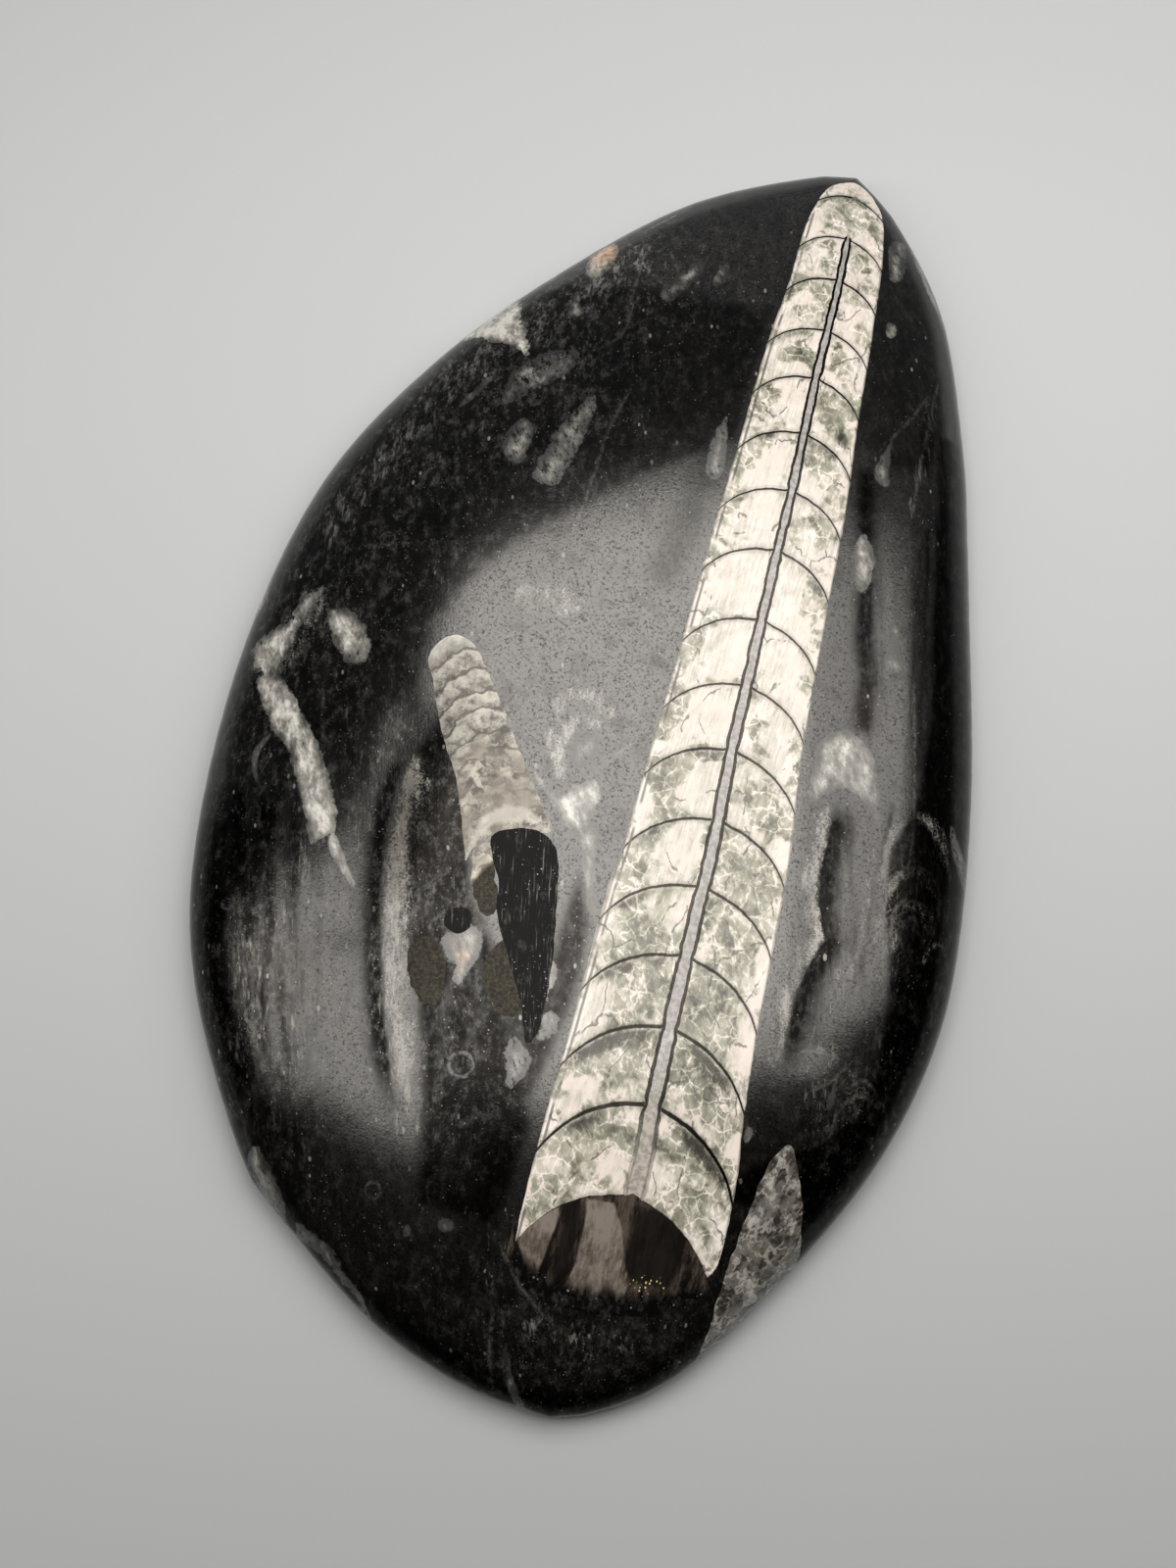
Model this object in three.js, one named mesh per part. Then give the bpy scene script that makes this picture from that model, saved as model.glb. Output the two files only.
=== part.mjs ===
// A hand-polished slab of black fossil limestone with a large straight-shelled nautiloid in it.
// One natural stone: the shells turned to calcite and are part of the rock, so it is one solid.
// Millimetres, +Z up. The slab lies on its sawn back at z = 0, its long axis along +Y, with its
// origin under the middle of its outline. The domed top is polished and rolls over at the rim.
import * as THREE from 'three';
import { mergeVertices } from 'three/addons/utils/BufferGeometryUtils.js';

const CROWN = 17;          // height of the polished top at its highest
const RIM_HEIGHT = 3.2;    // height of the slab's widest line above its back
const BACK_BEVEL = 1.1;    // how far the worn lower edge is drawn in at the back
const FLATNESS = 3.1;      // exponent along a spoke: higher keeps the middle flatter
const ROLL = 1.75;         // exponent of the rolled rim: higher is blunter
const MIDDLE = new THREE.Vector2(1, -3);  // where the spokes of the dome meet
const SOFTENING = THREE.MathUtils.degToRad(24);  // how far the two points are evened out inside

const FLANK_STEPS = 50;    // stretches along each flank, from point to point
const RINGS = 17;          // rings of the dome, closer together towards the rim
const RING_CROWDING = 1.7; // how strongly they crowd there
const SPOKES = 360;        // directions in which the outline's reach is tabled

// The outline, as two flanks from the top point to the bottom point
const TOP_POINT = [15, 90.2];
const BOTTOM_POINT = [14, -90.2];
const LEFT_FLANK = [
  TOP_POINT, [8, 88.4], [-8.5, 79.3], [-25, 62.6], [-38, 45.2], [-48, 24.1], [-51.8, -2],
  [-50.3, -29.4], [-44.8, -48.5], [-32.2, -68.9], [-24, -75.7], [-10.3, -84.6], [3, -89.2],
  BOTTOM_POINT,
];
const RIGHT_FLANK = [
  TOP_POINT, [22.3, 84], [32, 69.9], [39, 49.4], [41.8, 37.5], [44.2, 26.5], [49.2, 2.4],
  [51.7, -19], [51.3, -34], [47.3, -49.5], [39.8, -64.6], [29, -80.6], [20.5, -87.6],
  BOTTOM_POINT,
];

// Shallow hollows that the polishing wheel left beside the shells
const HOLLOWS = [
  { from: [27, 44], to: [35, -38], half: 4.2, depth: 0.35 },
  { from: [-21, 10], to: [-26, -38], half: 4.5, depth: 0.35 },
];

// The points of one flank's smooth curve, with the last one left to the other flank
function flankPoints(controls) {
  const curve = new THREE.SplineCurve(controls.map(([x, y]) => new THREE.Vector2(x, y)));
  return curve.getSpacedPoints(FLANK_STEPS).slice(0, -1);
}

// The whole outline, anticlockwise from the top point
function outlinePoints() {
  const left = flankPoints(LEFT_FLANK);
  const right = flankPoints([...RIGHT_FLANK].reverse());
  return [...left, ...right];
}

// How far the outline reaches from the middle in each of the tabled directions
function reachTable(outline) {
  const polar = outline.map((point) => {
    const spoke = point.clone().sub(MIDDLE);
    return { angle: spoke.angle(), reach: spoke.length() };
  });
  polar.sort((a, b) => a.angle - b.angle);
  const table = [];
  for (let i = 0; i < SPOKES; i += 1) {
    const angle = (i / SPOKES) * 2 * Math.PI;
    const after = polar.findIndex((entry) => entry.angle > angle);
    const next = polar[after < 0 ? 0 : after];
    const last = polar[(after <= 0 ? polar.length : after) - 1];
    const gap = (next.angle - last.angle + 2 * Math.PI) % (2 * Math.PI);
    const share = ((angle - last.angle + 2 * Math.PI) % (2 * Math.PI)) / gap;
    table.push(THREE.MathUtils.lerp(last.reach, next.reach, share));
  }
  return table;
}

// The same table, evened out by a window of SOFTENING to each side
function softened(table) {
  const half = Math.round((SOFTENING / (2 * Math.PI)) * SPOKES);
  return table.map((_, i) => {
    let total = 0;
    let weights = 0;
    for (let step = -half; step <= half; step += 1) {
      const weight = Math.cos((step / (half + 1)) * (Math.PI / 2)) ** 2;
      total += weight * table[(i + step + SPOKES) % SPOKES];
      weights += weight;
    }
    return total / weights;
  });
}

// A table's value in any direction
function lookUp(table, angle) {
  const place = (((angle / (2 * Math.PI)) % 1) + 1) % 1 * SPOKES;
  const below = Math.floor(place) % SPOKES;
  return THREE.MathUtils.lerp(table[below], table[(below + 1) % SPOKES], place - Math.floor(place));
}

// How much the hollows take off the dome at a point
function hollowDepth(x, y) {
  let depth = 0;
  for (const hollow of HOLLOWS) {
    const [ax, ay] = hollow.from;
    const [bx, by] = hollow.to;
    const along = ((x - ax) * (bx - ax) + (y - ay) * (by - ay)) / ((bx - ax) ** 2 + (by - ay) ** 2);
    const t = THREE.MathUtils.clamp(along, 0, 1);
    const away = Math.hypot(x - ax - t * (bx - ax), y - ay - t * (by - ay)) / hollow.half;
    depth += hollow.depth * Math.exp(-away * away);
  }
  return depth;
}

// Height of the polished top at a share of the way from the middle to the rim point
function topHeight(share, rimPoint, evened) {
  const spoke = rimPoint.clone().sub(MIDDLE);
  const reach = spoke.length();
  const even = lookUp(evened, spoke.angle());
  const softReach = THREE.MathUtils.lerp(even, reach, share ** 4);
  const part = Math.min((share * reach) / softReach, 1);
  const dome = (1 - part ** FLATNESS) ** (1 / ROLL);
  const at = MIDDLE.clone().addScaledVector(spoke, share);
  return RIM_HEIGHT + (CROWN - RIM_HEIGHT) * dome - hollowDepth(at.x, at.y) * dome;
}

// One ring of points: the outline drawn in towards the middle, at the given heights
function ring(outline, share, heightAt) {
  return outline.map((rimPoint) => {
    const at = MIDDLE.clone().lerp(rimPoint, share);
    return [at.x, at.y, heightAt(rimPoint)];
  });
}

// The outline at the back, drawn in by the worn bevel
function backRing(outline) {
  return outline.map((rimPoint) => {
    const spoke = rimPoint.clone().sub(MIDDLE);
    const at = MIDDLE.clone().addScaledVector(spoke, 1 - BACK_BEVEL / spoke.length());
    return [at.x, at.y, 0];
  });
}

function slabGeometry() {
  const outline = outlinePoints();
  const evened = softened(reachTable(outline));
  const rings = [];
  for (let i = 1; i <= RINGS; i += 1) {
    const share = 1 - (1 - i / RINGS) ** RING_CROWDING;
    rings.push(ring(outline, share, (rimPoint) => topHeight(share, rimPoint, evened)));
  }
  rings.push(backRing(outline));

  const corners = [];
  const count = outline.length;
  const crown = [MIDDLE.x, MIDDLE.y, topHeight(0, outline[0], evened)];
  const back = [MIDDLE.x, MIDDLE.y, 0];
  for (let k = 0; k < count; k += 1) {
    const next = (k + 1) % count;
    corners.push(crown, rings[0][k], rings[0][next]);
    for (let i = 0; i + 1 < rings.length; i += 1) {
      corners.push(rings[i][k], rings[i + 1][k], rings[i + 1][next]);
      corners.push(rings[i][k], rings[i + 1][next], rings[i][next]);
    }
    corners.push(back, rings.at(-1)[next], rings.at(-1)[k]);
  }
  const geometry = new THREE.BufferGeometry();
  geometry.setAttribute('position', new THREE.Float32BufferAttribute(corners.flat(), 3));
  const merged = mergeVertices(geometry);
  merged.computeVertexNormals();
  return merged;
}

function orthocerasSlab() {
  const stone = new THREE.MeshStandardMaterial({ color: 0x1d1c1b, roughness: 0.28, metalness: 0 });
  const slab = new THREE.Mesh(slabGeometry(), stone);
  slab.name = 'orthoceras_slab';
  return slab;
}

const group = new THREE.Group();
group.add(orthocerasSlab());

export default group;
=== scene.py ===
import math

import bpy
import numpy as np
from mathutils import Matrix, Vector, kdtree, noise
from mathutils.geometry import delaunay_2d_cdt


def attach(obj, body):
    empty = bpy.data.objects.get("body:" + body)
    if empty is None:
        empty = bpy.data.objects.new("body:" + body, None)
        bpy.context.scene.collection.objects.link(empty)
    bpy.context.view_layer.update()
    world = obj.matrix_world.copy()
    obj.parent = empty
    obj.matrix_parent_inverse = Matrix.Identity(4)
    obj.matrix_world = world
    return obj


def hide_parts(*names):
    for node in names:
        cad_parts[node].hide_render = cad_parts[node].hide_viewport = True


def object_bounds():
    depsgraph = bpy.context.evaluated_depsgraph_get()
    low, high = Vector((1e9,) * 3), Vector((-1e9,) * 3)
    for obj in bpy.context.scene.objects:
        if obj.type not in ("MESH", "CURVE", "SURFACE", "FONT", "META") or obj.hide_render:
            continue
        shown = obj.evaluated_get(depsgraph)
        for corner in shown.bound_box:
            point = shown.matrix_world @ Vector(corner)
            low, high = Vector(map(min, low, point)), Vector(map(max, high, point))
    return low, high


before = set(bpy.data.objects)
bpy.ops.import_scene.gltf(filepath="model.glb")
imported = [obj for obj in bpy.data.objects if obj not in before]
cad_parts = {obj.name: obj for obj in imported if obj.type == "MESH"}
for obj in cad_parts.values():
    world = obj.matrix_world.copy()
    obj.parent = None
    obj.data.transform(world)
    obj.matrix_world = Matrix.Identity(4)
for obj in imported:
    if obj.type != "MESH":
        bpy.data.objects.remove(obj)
cad_low, cad_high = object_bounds()


# The slab's form.
# One leaf-shaped piece of black fossil limestone, sawn flat behind and ground by hand to a low
# dome that rolls over at the rim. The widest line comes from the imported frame, and the heights
# repeat the dome's own rule. Plans and heights are in millimetres until the mesh is made.

MM = 0.001
SLAB = "orthoceras_slab"
CROWN = cad_high.z / MM
RIM_HEIGHT = 3.2
BACK_BEVEL = 1.1
FLATNESS = 3.1
ROLL = 1.75
MIDDLE = (1.0, -3.0)
SOFTENING = math.radians(24)
SPOKES = 360
TURN = 2 * math.pi
NEAR_RIM = 0.01  # how near the widest line's height a corner has to be
FAR_AWAY = 1e9
WEAR_LAYER = 3.7  # where the wearing noise is cut
WEAR_SEED = 7
# Shallow hollows that the polishing left: their two ends, half width and depth
HOLLOWS = [((27, 44), (35, -38), 4.2, 0.35), ((-24, -12), (-26, -38), 4.5, 0.35)]

noise.seed_set(WEAR_SEED)  # unseeded, the wear on every outline would change with the clock

corners = np.array([v.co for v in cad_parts[SLAB].data.vertices]) / MM
widest = corners[np.abs(corners[:, 2] - RIM_HEIGHT) < NEAR_RIM][:, :2] - MIDDLE
widest_angles = np.arctan2(widest[:, 1], widest[:, 0]) % TURN
widest_order = np.argsort(widest_angles)
widest_angles = widest_angles[widest_order]
widest_reaches = np.hypot(widest[:, 0], widest[:, 1])[widest_order]


def reach(angle):
    """How far the widest line lies from the middle in a direction."""
    return np.interp(angle % TURN, widest_angles, widest_reaches, period=TURN)


spoke_angles = np.arange(SPOKES) / SPOKES * TURN
window = round(SOFTENING / TURN * SPOKES)
window_steps = np.arange(-window, window + 1)
window_weights = np.cos(window_steps / (window + 1) * math.pi / 2) ** 2
even_reaches = sum(
    weight * np.roll(reach(spoke_angles), -step)
    for weight, step in zip(window_weights, window_steps)
) / window_weights.sum()


def from_line(x, y, start, end):
    """Distance of points of the plan from a straight line between two others."""
    (ax, ay), (bx, by) = start, end
    along = ((x - ax) * (bx - ax) + (y - ay) * (by - ay)) / ((bx - ax) ** 2 + (by - ay) ** 2)
    along = np.clip(along, 0, 1)
    return np.hypot(x - ax - along * (bx - ax), y - ay - along * (by - ay))


def dome_height(x, y):
    """Height of the polished face over a point of the plan."""
    dx, dy = x - MIDDLE[0], y - MIDDLE[1]
    angle = np.arctan2(dy, dx)
    far = reach(angle)
    share = np.minimum(np.hypot(dx, dy) / far, 1)
    even = np.interp(angle % TURN, spoke_angles, even_reaches, period=TURN)
    part = np.minimum(share * far / (even + (far - even) * share**4), 1)
    dome = (1 - part**FLATNESS) ** (1 / ROLL)
    hollow = 0
    for start, end, half, depth in HOLLOWS:
        hollow = hollow + depth * np.exp(-((from_line(x, y, start, end) / half) ** 2))
    return RIM_HEIGHT + (CROWN - RIM_HEIGHT - hollow) * dome


# Fossils are drawn on the plan. A patch is an outline and the material that shows inside it, and
# a later patch lies over an earlier one. A field is a value that changes over the plan, and the
# materials read it by its name.
patches = []
fields = {}


def curve(points, closed=True, step=0.5):
    """A smooth line through a few points, as points about a step apart."""
    p = np.array(points, float)
    count = len(p)
    out = []
    for i in range(count if closed else count - 1):
        picks = [(i + k) % count if closed else min(max(i + k, 0), count - 1) for k in (-1, 0, 1, 2)]
        before, start, end, after = p[picks]
        leave, arrive = (end - before) / 2, (after - start) / 2
        steps = max(2, math.ceil(np.hypot(*(end - start)) / step))
        t = np.linspace(0, 1, steps, endpoint=False)[:, None]
        out.append((2 * start - 2 * end + leave + arrive) * t**3
                   + (3 * end - 3 * start - 2 * leave - arrive) * t**2 + leave * t + start)
    if not closed:
        out.append(p[-1:])
    return np.vstack(out)


def shard(points, step=0.5):
    """A closed outline with straight sides, as points about a step apart."""
    p = np.array(points, float)
    out = []
    for start, end in zip(p, np.roll(p, -1, axis=0)):
        steps = max(1, math.ceil(np.hypot(*(end - start)) / step))
        out.append(start + (end - start) * np.linspace(0, 1, steps, endpoint=False)[:, None])
    return np.vstack(out)


def worn(outline, depth, size):
    """An outline with the uneven edge of a broken or ground shell."""
    out = []
    for x, y in outline:
        shift = noise.noise_vector(Vector((x / size, y / size, WEAR_LAYER)))
        out.append((x + depth * shift[0], y + depth * shift[1]))
    return np.array(out)


def inside_by(x, y, outline):
    """How far points lie inside a closed outline: positive inside, negative outside."""
    away = np.full(len(x), FAR_AWAY)
    within = np.zeros(len(x), bool)
    for (ax, ay), (bx, by) in zip(outline, np.roll(outline, -1, axis=0)):
        away = np.minimum(away, from_line(x, y, (ax, ay), (bx, by)))
        crosses = (ay > y) != (by > y)
        if crosses.any():
            within ^= crosses & (x < (bx - ax) * (y - ay) / (by - ay + 1e-12) + ax)
    return np.where(within, away, -away)


def inlay(outline, depth, size, finish):
    """Adds a patch with a worn edge."""
    patches.append((worn(outline, depth, size), finish))


def put(name, data):
    """Puts a new object into the scene."""
    made = bpy.data.objects.new(name, data)
    bpy.context.scene.collection.objects.link(made)
    return made


# The black limestone.
# A dense bituminous mud rock, nearly black, full of crushed shell dust and thin shell flecks that
# lie along the slab. It takes a soft polish, with open pits, so that it greys under a lamp.


class Recipe:
    """Shorthand for placing and joining the nodes of one material or node group."""

    def __init__(self, tree):
        self.tree = tree

    def add(self, kind, inputs, **settings):
        made = self.tree.nodes.new("ShaderNode" + kind)
        for name, value in settings.items():
            setattr(made, name, value)
        for name, value in inputs.items():
            if isinstance(value, bpy.types.NodeSocket):
                self.join(value, made.inputs[name])
            else:
                made.inputs[name].default_value = value
        return made

    def join(self, value, socket):
        self.tree.links.new(value, socket)

    def maths(self, operation, *values, clamp=False):
        return self.add("Math", dict(enumerate(values)), operation=operation, use_clamp=clamp).outputs[0]

    def chain(self, operation, first, *rest):
        for value in rest:
            first = self.maths(operation, first, value)
        return first

    def total(self, *values):
        return self.chain("ADD", *values)

    def product(self, *values):
        return self.chain("MULTIPLY", *values)

    def greatest(self, *values):
        return self.chain("MAXIMUM", *values)

    def swing(self, value, gain):
        """Noise as a push that goes from minus half a gain to plus half a gain."""
        return self.maths("MULTIPLY_ADD", value, gain, -gain / 2)

    def fade(self, value, low, high, first=0.0, last=1.0):
        """A smooth change from first to last as a value goes from low to high."""
        inputs = {"Value": value, "From Min": low, "From Max": high, "To Min": first, "To Max": last}
        return self.add("MapRange", inputs, interpolation_type="SMOOTHSTEP").outputs[0]

    def mix(self, share, first, second, blend="MIX"):
        """Two colours mixed by a share. Colours are RGB and may be sockets."""
        first, second = ((*c, 1) if isinstance(c, tuple) else c for c in (first, second))
        return self.add("Mix", {0: share, 6: first, 7: second}, data_type="RGBA", blend_type=blend).outputs[2]

    def millimetres(self):
        """The slab's own coordinates, in millimetres."""
        place = self.add("TexCoord", {}).outputs["Object"]
        return self.add("VectorMath", {0: place, "Scale": 1 / MM}, operation="SCALE").outputs[0]

    def lying(self, place, angle, stretch):
        """Coordinates for a pattern that is drawn out along a direction of the plan."""
        inputs = {"Vector": place, "Rotation": (0, 0, math.radians(angle)), "Scale": (1, stretch, 1)}
        return self.add("Mapping", inputs, vector_type="TEXTURE").outputs[0]

    def scale(self, size):
        """The scale that gives a pattern a size in millimetres, which may be a socket."""
        return self.maths("DIVIDE", 1.0, size) if isinstance(size, bpy.types.NodeSocket) else 1 / size

    def clouds(self, place, size, detail=3.0, roughness=0.5, warp=0.0):
        """Soft noise from 0 to 1, with features of about a size in millimetres."""
        inputs = {"Vector": place, "Scale": self.scale(size), "Detail": detail, "Roughness": roughness}
        return self.add("TexNoise", {**inputs, "Distortion": warp}).outputs[0]

    def ramp(self, value, stops):
        """A colour read off a row of stops, each a place from 0 to 1 and an RGB colour."""
        made = self.add("ValToRGB", {0: value})
        row = made.color_ramp.elements
        while len(row) < len(stops):
            row.new(0.5)
        for stop, (where, colour) in zip(row, stops):
            stop.position = where
            stop.color = (*colour, 1)
        return made.outputs[0]

    def field(self, name):
        return self.add("Attribute", {}, attribute_name=name).outputs["Fac"]

    def use(self, group, inputs):
        return self.add("Group", inputs, node_tree=group).outputs


def new_group(name, inputs, outputs):
    """An empty node group with named sockets, and the shorthand, inlets and outlet to fill it."""
    group = bpy.data.node_groups.new(name, "ShaderNodeTree")
    for socket, kind in inputs.items():
        group.interface.new_socket(socket, in_out="INPUT", socket_type="NodeSocket" + kind)
    for socket, kind in outputs.items():
        group.interface.new_socket(socket, in_out="OUTPUT", socket_type="NodeSocket" + kind)
    recipe = Recipe(group)
    given, result = (group.nodes.new("NodeGroup" + end) for end in ("Input", "Output"))
    return group, recipe, given.outputs, result.inputs


def new_material(name):
    """A material with a Principled shader, and the shorthand to fill it."""
    made = bpy.data.materials.new(name)
    made.use_nodes = True
    return made, Recipe(made.node_tree), made.node_tree.nodes["Principled BSDF"].inputs


# Polish grain: the fine pits and fading rubbing lines that grinding leaves, as a height
polish_grain, n, given, result = new_group(
    "Polish grain", {"Place": "Vector", "Pit size": "Float", "Rub": "Float"}, {"Height": "Float"}
)
pits = n.clouds(given["Place"], given["Pit size"], detail=2.0, roughness=0.6)
rub_lines = n.clouds(n.lying(given["Place"], 14, 14), 0.22, detail=2.0)
n.join(n.total(pits, n.product(rub_lines, given["Rub"])), result["Height"])


def polish(n, shader, place, pit, rub, strength, depth, relief=None):
    """Gives a material the bump of its polish grain, with any relief of its own added to it."""
    height = n.use(polish_grain, {"Place": place, "Pit size": pit, "Rub": rub})["Height"]
    if relief is not None:
        height = n.total(height, relief)
    bump = n.add("Bump", {"Height": height, "Strength": strength, "Distance": depth * MM})
    n.join(bump.outputs[0], shader["Normal"])


# Shell dust: small pale grains, scattered more thickly where the amount is higher
shell_dust, n, given, result = new_group(
    "Shell dust", {"Place": "Vector", "Size": "Float", "Amount": "Float"}, {"Mask": "Float"}
)
cells = n.add("TexVoronoi", {"Vector": given["Place"], "Scale": n.scale(given["Size"])}).outputs
lucky = n.add("SeparateColor", {0: cells["Color"]}).outputs
kept = n.maths("LESS_THAN", lucky[0], given["Amount"])
grain_reach = n.maths("MULTIPLY_ADD", lucky[1], 0.30, 0.06)
grain = n.fade(n.maths("SUBTRACT", grain_reach, cells["Distance"]), 0.0, 0.12)
n.join(n.product(kept, grain, n.maths("MULTIPLY_ADD", lucky[2], 0.8, 0.2)), result["Mask"])


def dusting_of(n, place, size, amount):
    """A mask of shell dust."""
    return n.use(shell_dust, {"Place": place, "Size": size, "Amount": amount})["Mask"]


# Torn shell: an uneven mask from how far a point lies inside a shell's outline
torn_shell, n, given, result = new_group(
    "Torn shell", {"Place": "Vector", "Inside": "Float", "Tear": "Float"}, {"Mask": "Float"}
)
coarse_tear = n.maths("SUBTRACT", n.clouds(given["Place"], 1.6, detail=4.0, roughness=0.65), 0.5)
torn_inside = n.maths("MULTIPLY_ADD", coarse_tear, given["Tear"], given["Inside"])
n.join(n.fade(torn_inside, -0.10, 0.22), result["Mask"])

LAY = 14.0  # degrees by which the slab's shells lean from its long axis
MUD = (0.0022, 0.0021, 0.0020)
MUD_WARM = (0.0075, 0.0055, 0.0045)
MUD_GREY = (0.030, 0.030, 0.029)
DUST = (0.24, 0.235, 0.22)
SHELL_DULL = (0.085, 0.082, 0.075)
VEIN_GREY = (0.062, 0.060, 0.056)
GHOST_GREY = (0.036, 0.036, 0.034)
HAZE_GREY = (0.085, 0.083, 0.078)
GRIT_PALE = (0.30, 0.29, 0.265)
RUST = (1.0, 0.70, 0.50)
SHELL_WHITE = (0.55, 0.54, 0.51)
SHELL = [(0.0, (0.012, 0.012, 0.011)), (0.3, (0.055, 0.054, 0.049)),
         (0.65, (0.20, 0.196, 0.18)), (1.0, SHELL_WHITE)]

black_limestone, n, shader = new_material("black_limestone")
place = n.millimetres()
drift = n.clouds(place, 14)
mottle = n.clouds(n.lying(place, LAY, 2.2), 3.0, detail=5.0, roughness=0.65)
stain = n.field("stain")
stone_colour = n.mix(n.product(n.fade(drift, 0.40, 0.70), stain), MUD, MUD_WARM)
stone_colour = n.mix(n.product(n.fade(mottle, 0.45, 0.8), stain), stone_colour, MUD_GREY)
ghosts = n.clouds(n.lying(place, LAY, 1.5), 1.3, detail=6.0, roughness=0.78)
ghost_share = n.product(n.fade(ghosts, 0.48, 0.68), n.field("dust"), 0.70)
stone_colour = n.mix(ghost_share, stone_colour, GHOST_GREY)

dust_clumps = n.fade(n.clouds(place, 5.0, detail=4.0), 0.32, 0.68, 0.35, 1.7)
dust_drift = n.product(n.field("dust"), dust_clumps)
fine = dusting_of(n, place, 0.38, n.product(dust_drift, 0.34))
medium = dusting_of(n, n.lying(place, LAY, 1.8), 0.85, n.product(dust_drift, 0.10))
dusting = n.greatest(n.product(fine, 0.7), medium)
stone_colour = n.mix(n.product(dusting, 0.65), stone_colour, DUST)
haze_cloud = n.clouds(n.lying(place, LAY, 2.6), 1.1, detail=5.0, roughness=0.7)
haze_share = n.product(n.fade(haze_cloud, 0.52, 0.80), dust_drift, 0.5)
stone_colour = n.mix(haze_share, stone_colour, HAZE_GREY)

streak_grain = n.clouds(n.lying(place, LAY, 7.0), 0.55, detail=4.0, roughness=0.7)
streak_breaks = n.clouds(n.lying(place, LAY, 2.0), 1.7)
streak_share = n.total(streak_grain, n.product(n.field("streak"), 0.34), -0.34)
streaks = n.product(n.fade(streak_share, 0.34, 0.52), n.fade(streak_breaks, 0.40, 0.60), n.field("streak"))
stone_colour = n.mix(n.product(streaks, 0.9), stone_colour, DUST)
grit_grain = n.total(
    n.swing(n.clouds(place, 0.30, roughness=0.75), 3.0),
    n.swing(n.clouds(n.lying(place, LAY, 2.6), 1.5, detail=6.0, roughness=0.74), 4.2),
)
grit = n.fade(n.total(n.field("grit"), grit_grain), 0.15, 1.55)
grit_drift = n.fade(n.clouds(n.lying(place, LAY, 3.0), 5.0), 0.36, 0.60, 0.45, 1.0)
grit = n.product(grit, n.fade(n.field("grit"), 0.08, 0.35), grit_drift)
stone_colour = n.mix(n.product(grit, 0.85), stone_colour, GRIT_PALE)

shell_tone = n.clouds(n.lying(place, 34, 2.0), 0.8, detail=6.0, roughness=0.75)
shell_flakes = n.clouds(n.lying(place, LAY, 1.8), 2.0)
shell_share = n.total(
    n.field("shell_white"),
    n.fade(n.field("shell"), 0.0, 1.4, -0.45, 0.12),
    n.swing(shell_tone, 2.2),
    n.swing(shell_flakes, 1.6),
)
shell_colour = n.ramp(n.maths("MULTIPLY_ADD", shell_share, 0.8, 0.16), SHELL)
shell_colour = n.mix(n.product(n.field("rust"), 0.85), shell_colour, RUST, blend="MULTIPLY")
shell_inputs = {"Place": place, "Inside": n.field("shell"), "Tear": n.field("shell_tear")}
shell_mask = n.use(torn_shell, shell_inputs)["Mask"]
shell_holes = n.fade(n.total(shell_tone, n.product(n.field("shell_white"), 0.25)), 0.38, 0.50)
shell_mask = n.product(shell_mask, shell_holes)
stone_colour = n.mix(n.product(shell_mask, 0.95), stone_colour, shell_colour)
vein_wander = n.swing(n.clouds(place, 1.5, detail=4.0), 0.6)
vein_mask = n.product(
    n.fade(n.maths("ABSOLUTE", n.total(n.field("vein"), vein_wander)), 0.0, 0.42, 1.0, 0.0),
    n.field("vein_strength"),
    n.fade(n.clouds(place, 0.9, detail=5.0, roughness=0.7), 0.36, 0.60),
    0.85,
)
stone_colour = n.mix(vein_mask, stone_colour, VEIN_GREY)
n.join(stone_colour, shader["Base Color"])

# Metallic over the near-black colour takes away the lamp's haze. This is painted shade in the reflection over
# the dark ground, its bands, the grooves and the rim. Elsewhere only fine dark pits and a soft mottle dim it
open_pits = n.fade(n.clouds(place, 0.38, roughness=0.82), 0.50, 0.64, 0.0, 0.72)
soft_mottle = n.fade(n.clouds(place, 2.6, detail=4.0), 0.50, 0.75, 0.0, 0.30)
reflection_shade_edge = n.swing(n.clouds(place, 1.0, detail=5.0, roughness=0.7), 0.5)
lines = n.clouds(n.lying(place, LAY, 12.0), 1.9, detail=5.0, roughness=0.65)
reflection_shade_lines = n.product(n.maths("MULTIPLY_ADD", lines, 6.0, -2.75), n.field("lined"))
dense = n.fade(n.total(n.field("dense"), reflection_shade_edge, reflection_shade_lines), 0.0, 1.1, 0.0, 0.97)
pale_share = n.greatest(
    shell_mask,
    n.product(dusting, 0.8),
    n.product(grit, 0.8),
    n.product(haze_share, 0.7),
    n.product(ghost_share, 0.6),
)
pits_and_reflection_shade = n.greatest(open_pits, soft_mottle, dense)
pits_and_reflection_shade = n.product(pits_and_reflection_shade, n.maths("SUBTRACT", 1.0, pale_share, clamp=True))
n.join(pits_and_reflection_shade, shader["Metallic"])
stone_rough = n.maths("MULTIPLY_ADD", n.clouds(place, 5.0, detail=4.0), 0.10, 0.13)
n.join(n.maths("MULTIPLY_ADD", shell_mask, 0.12, stone_rough), shader["Roughness"])
polish(n, shader, place, pit=0.30, rub=0.5, strength=0.10, depth=0.10)
shader["IOR"].default_value = 1.62
shader["Specular IOR Level"].default_value = 0.62


# The large orthocone.
# A straight chambered shell, ground through its middle. White and grey-green calcite fills the
# chambers, dark walls divide them, and a thin tube runs down through all of them.

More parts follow.
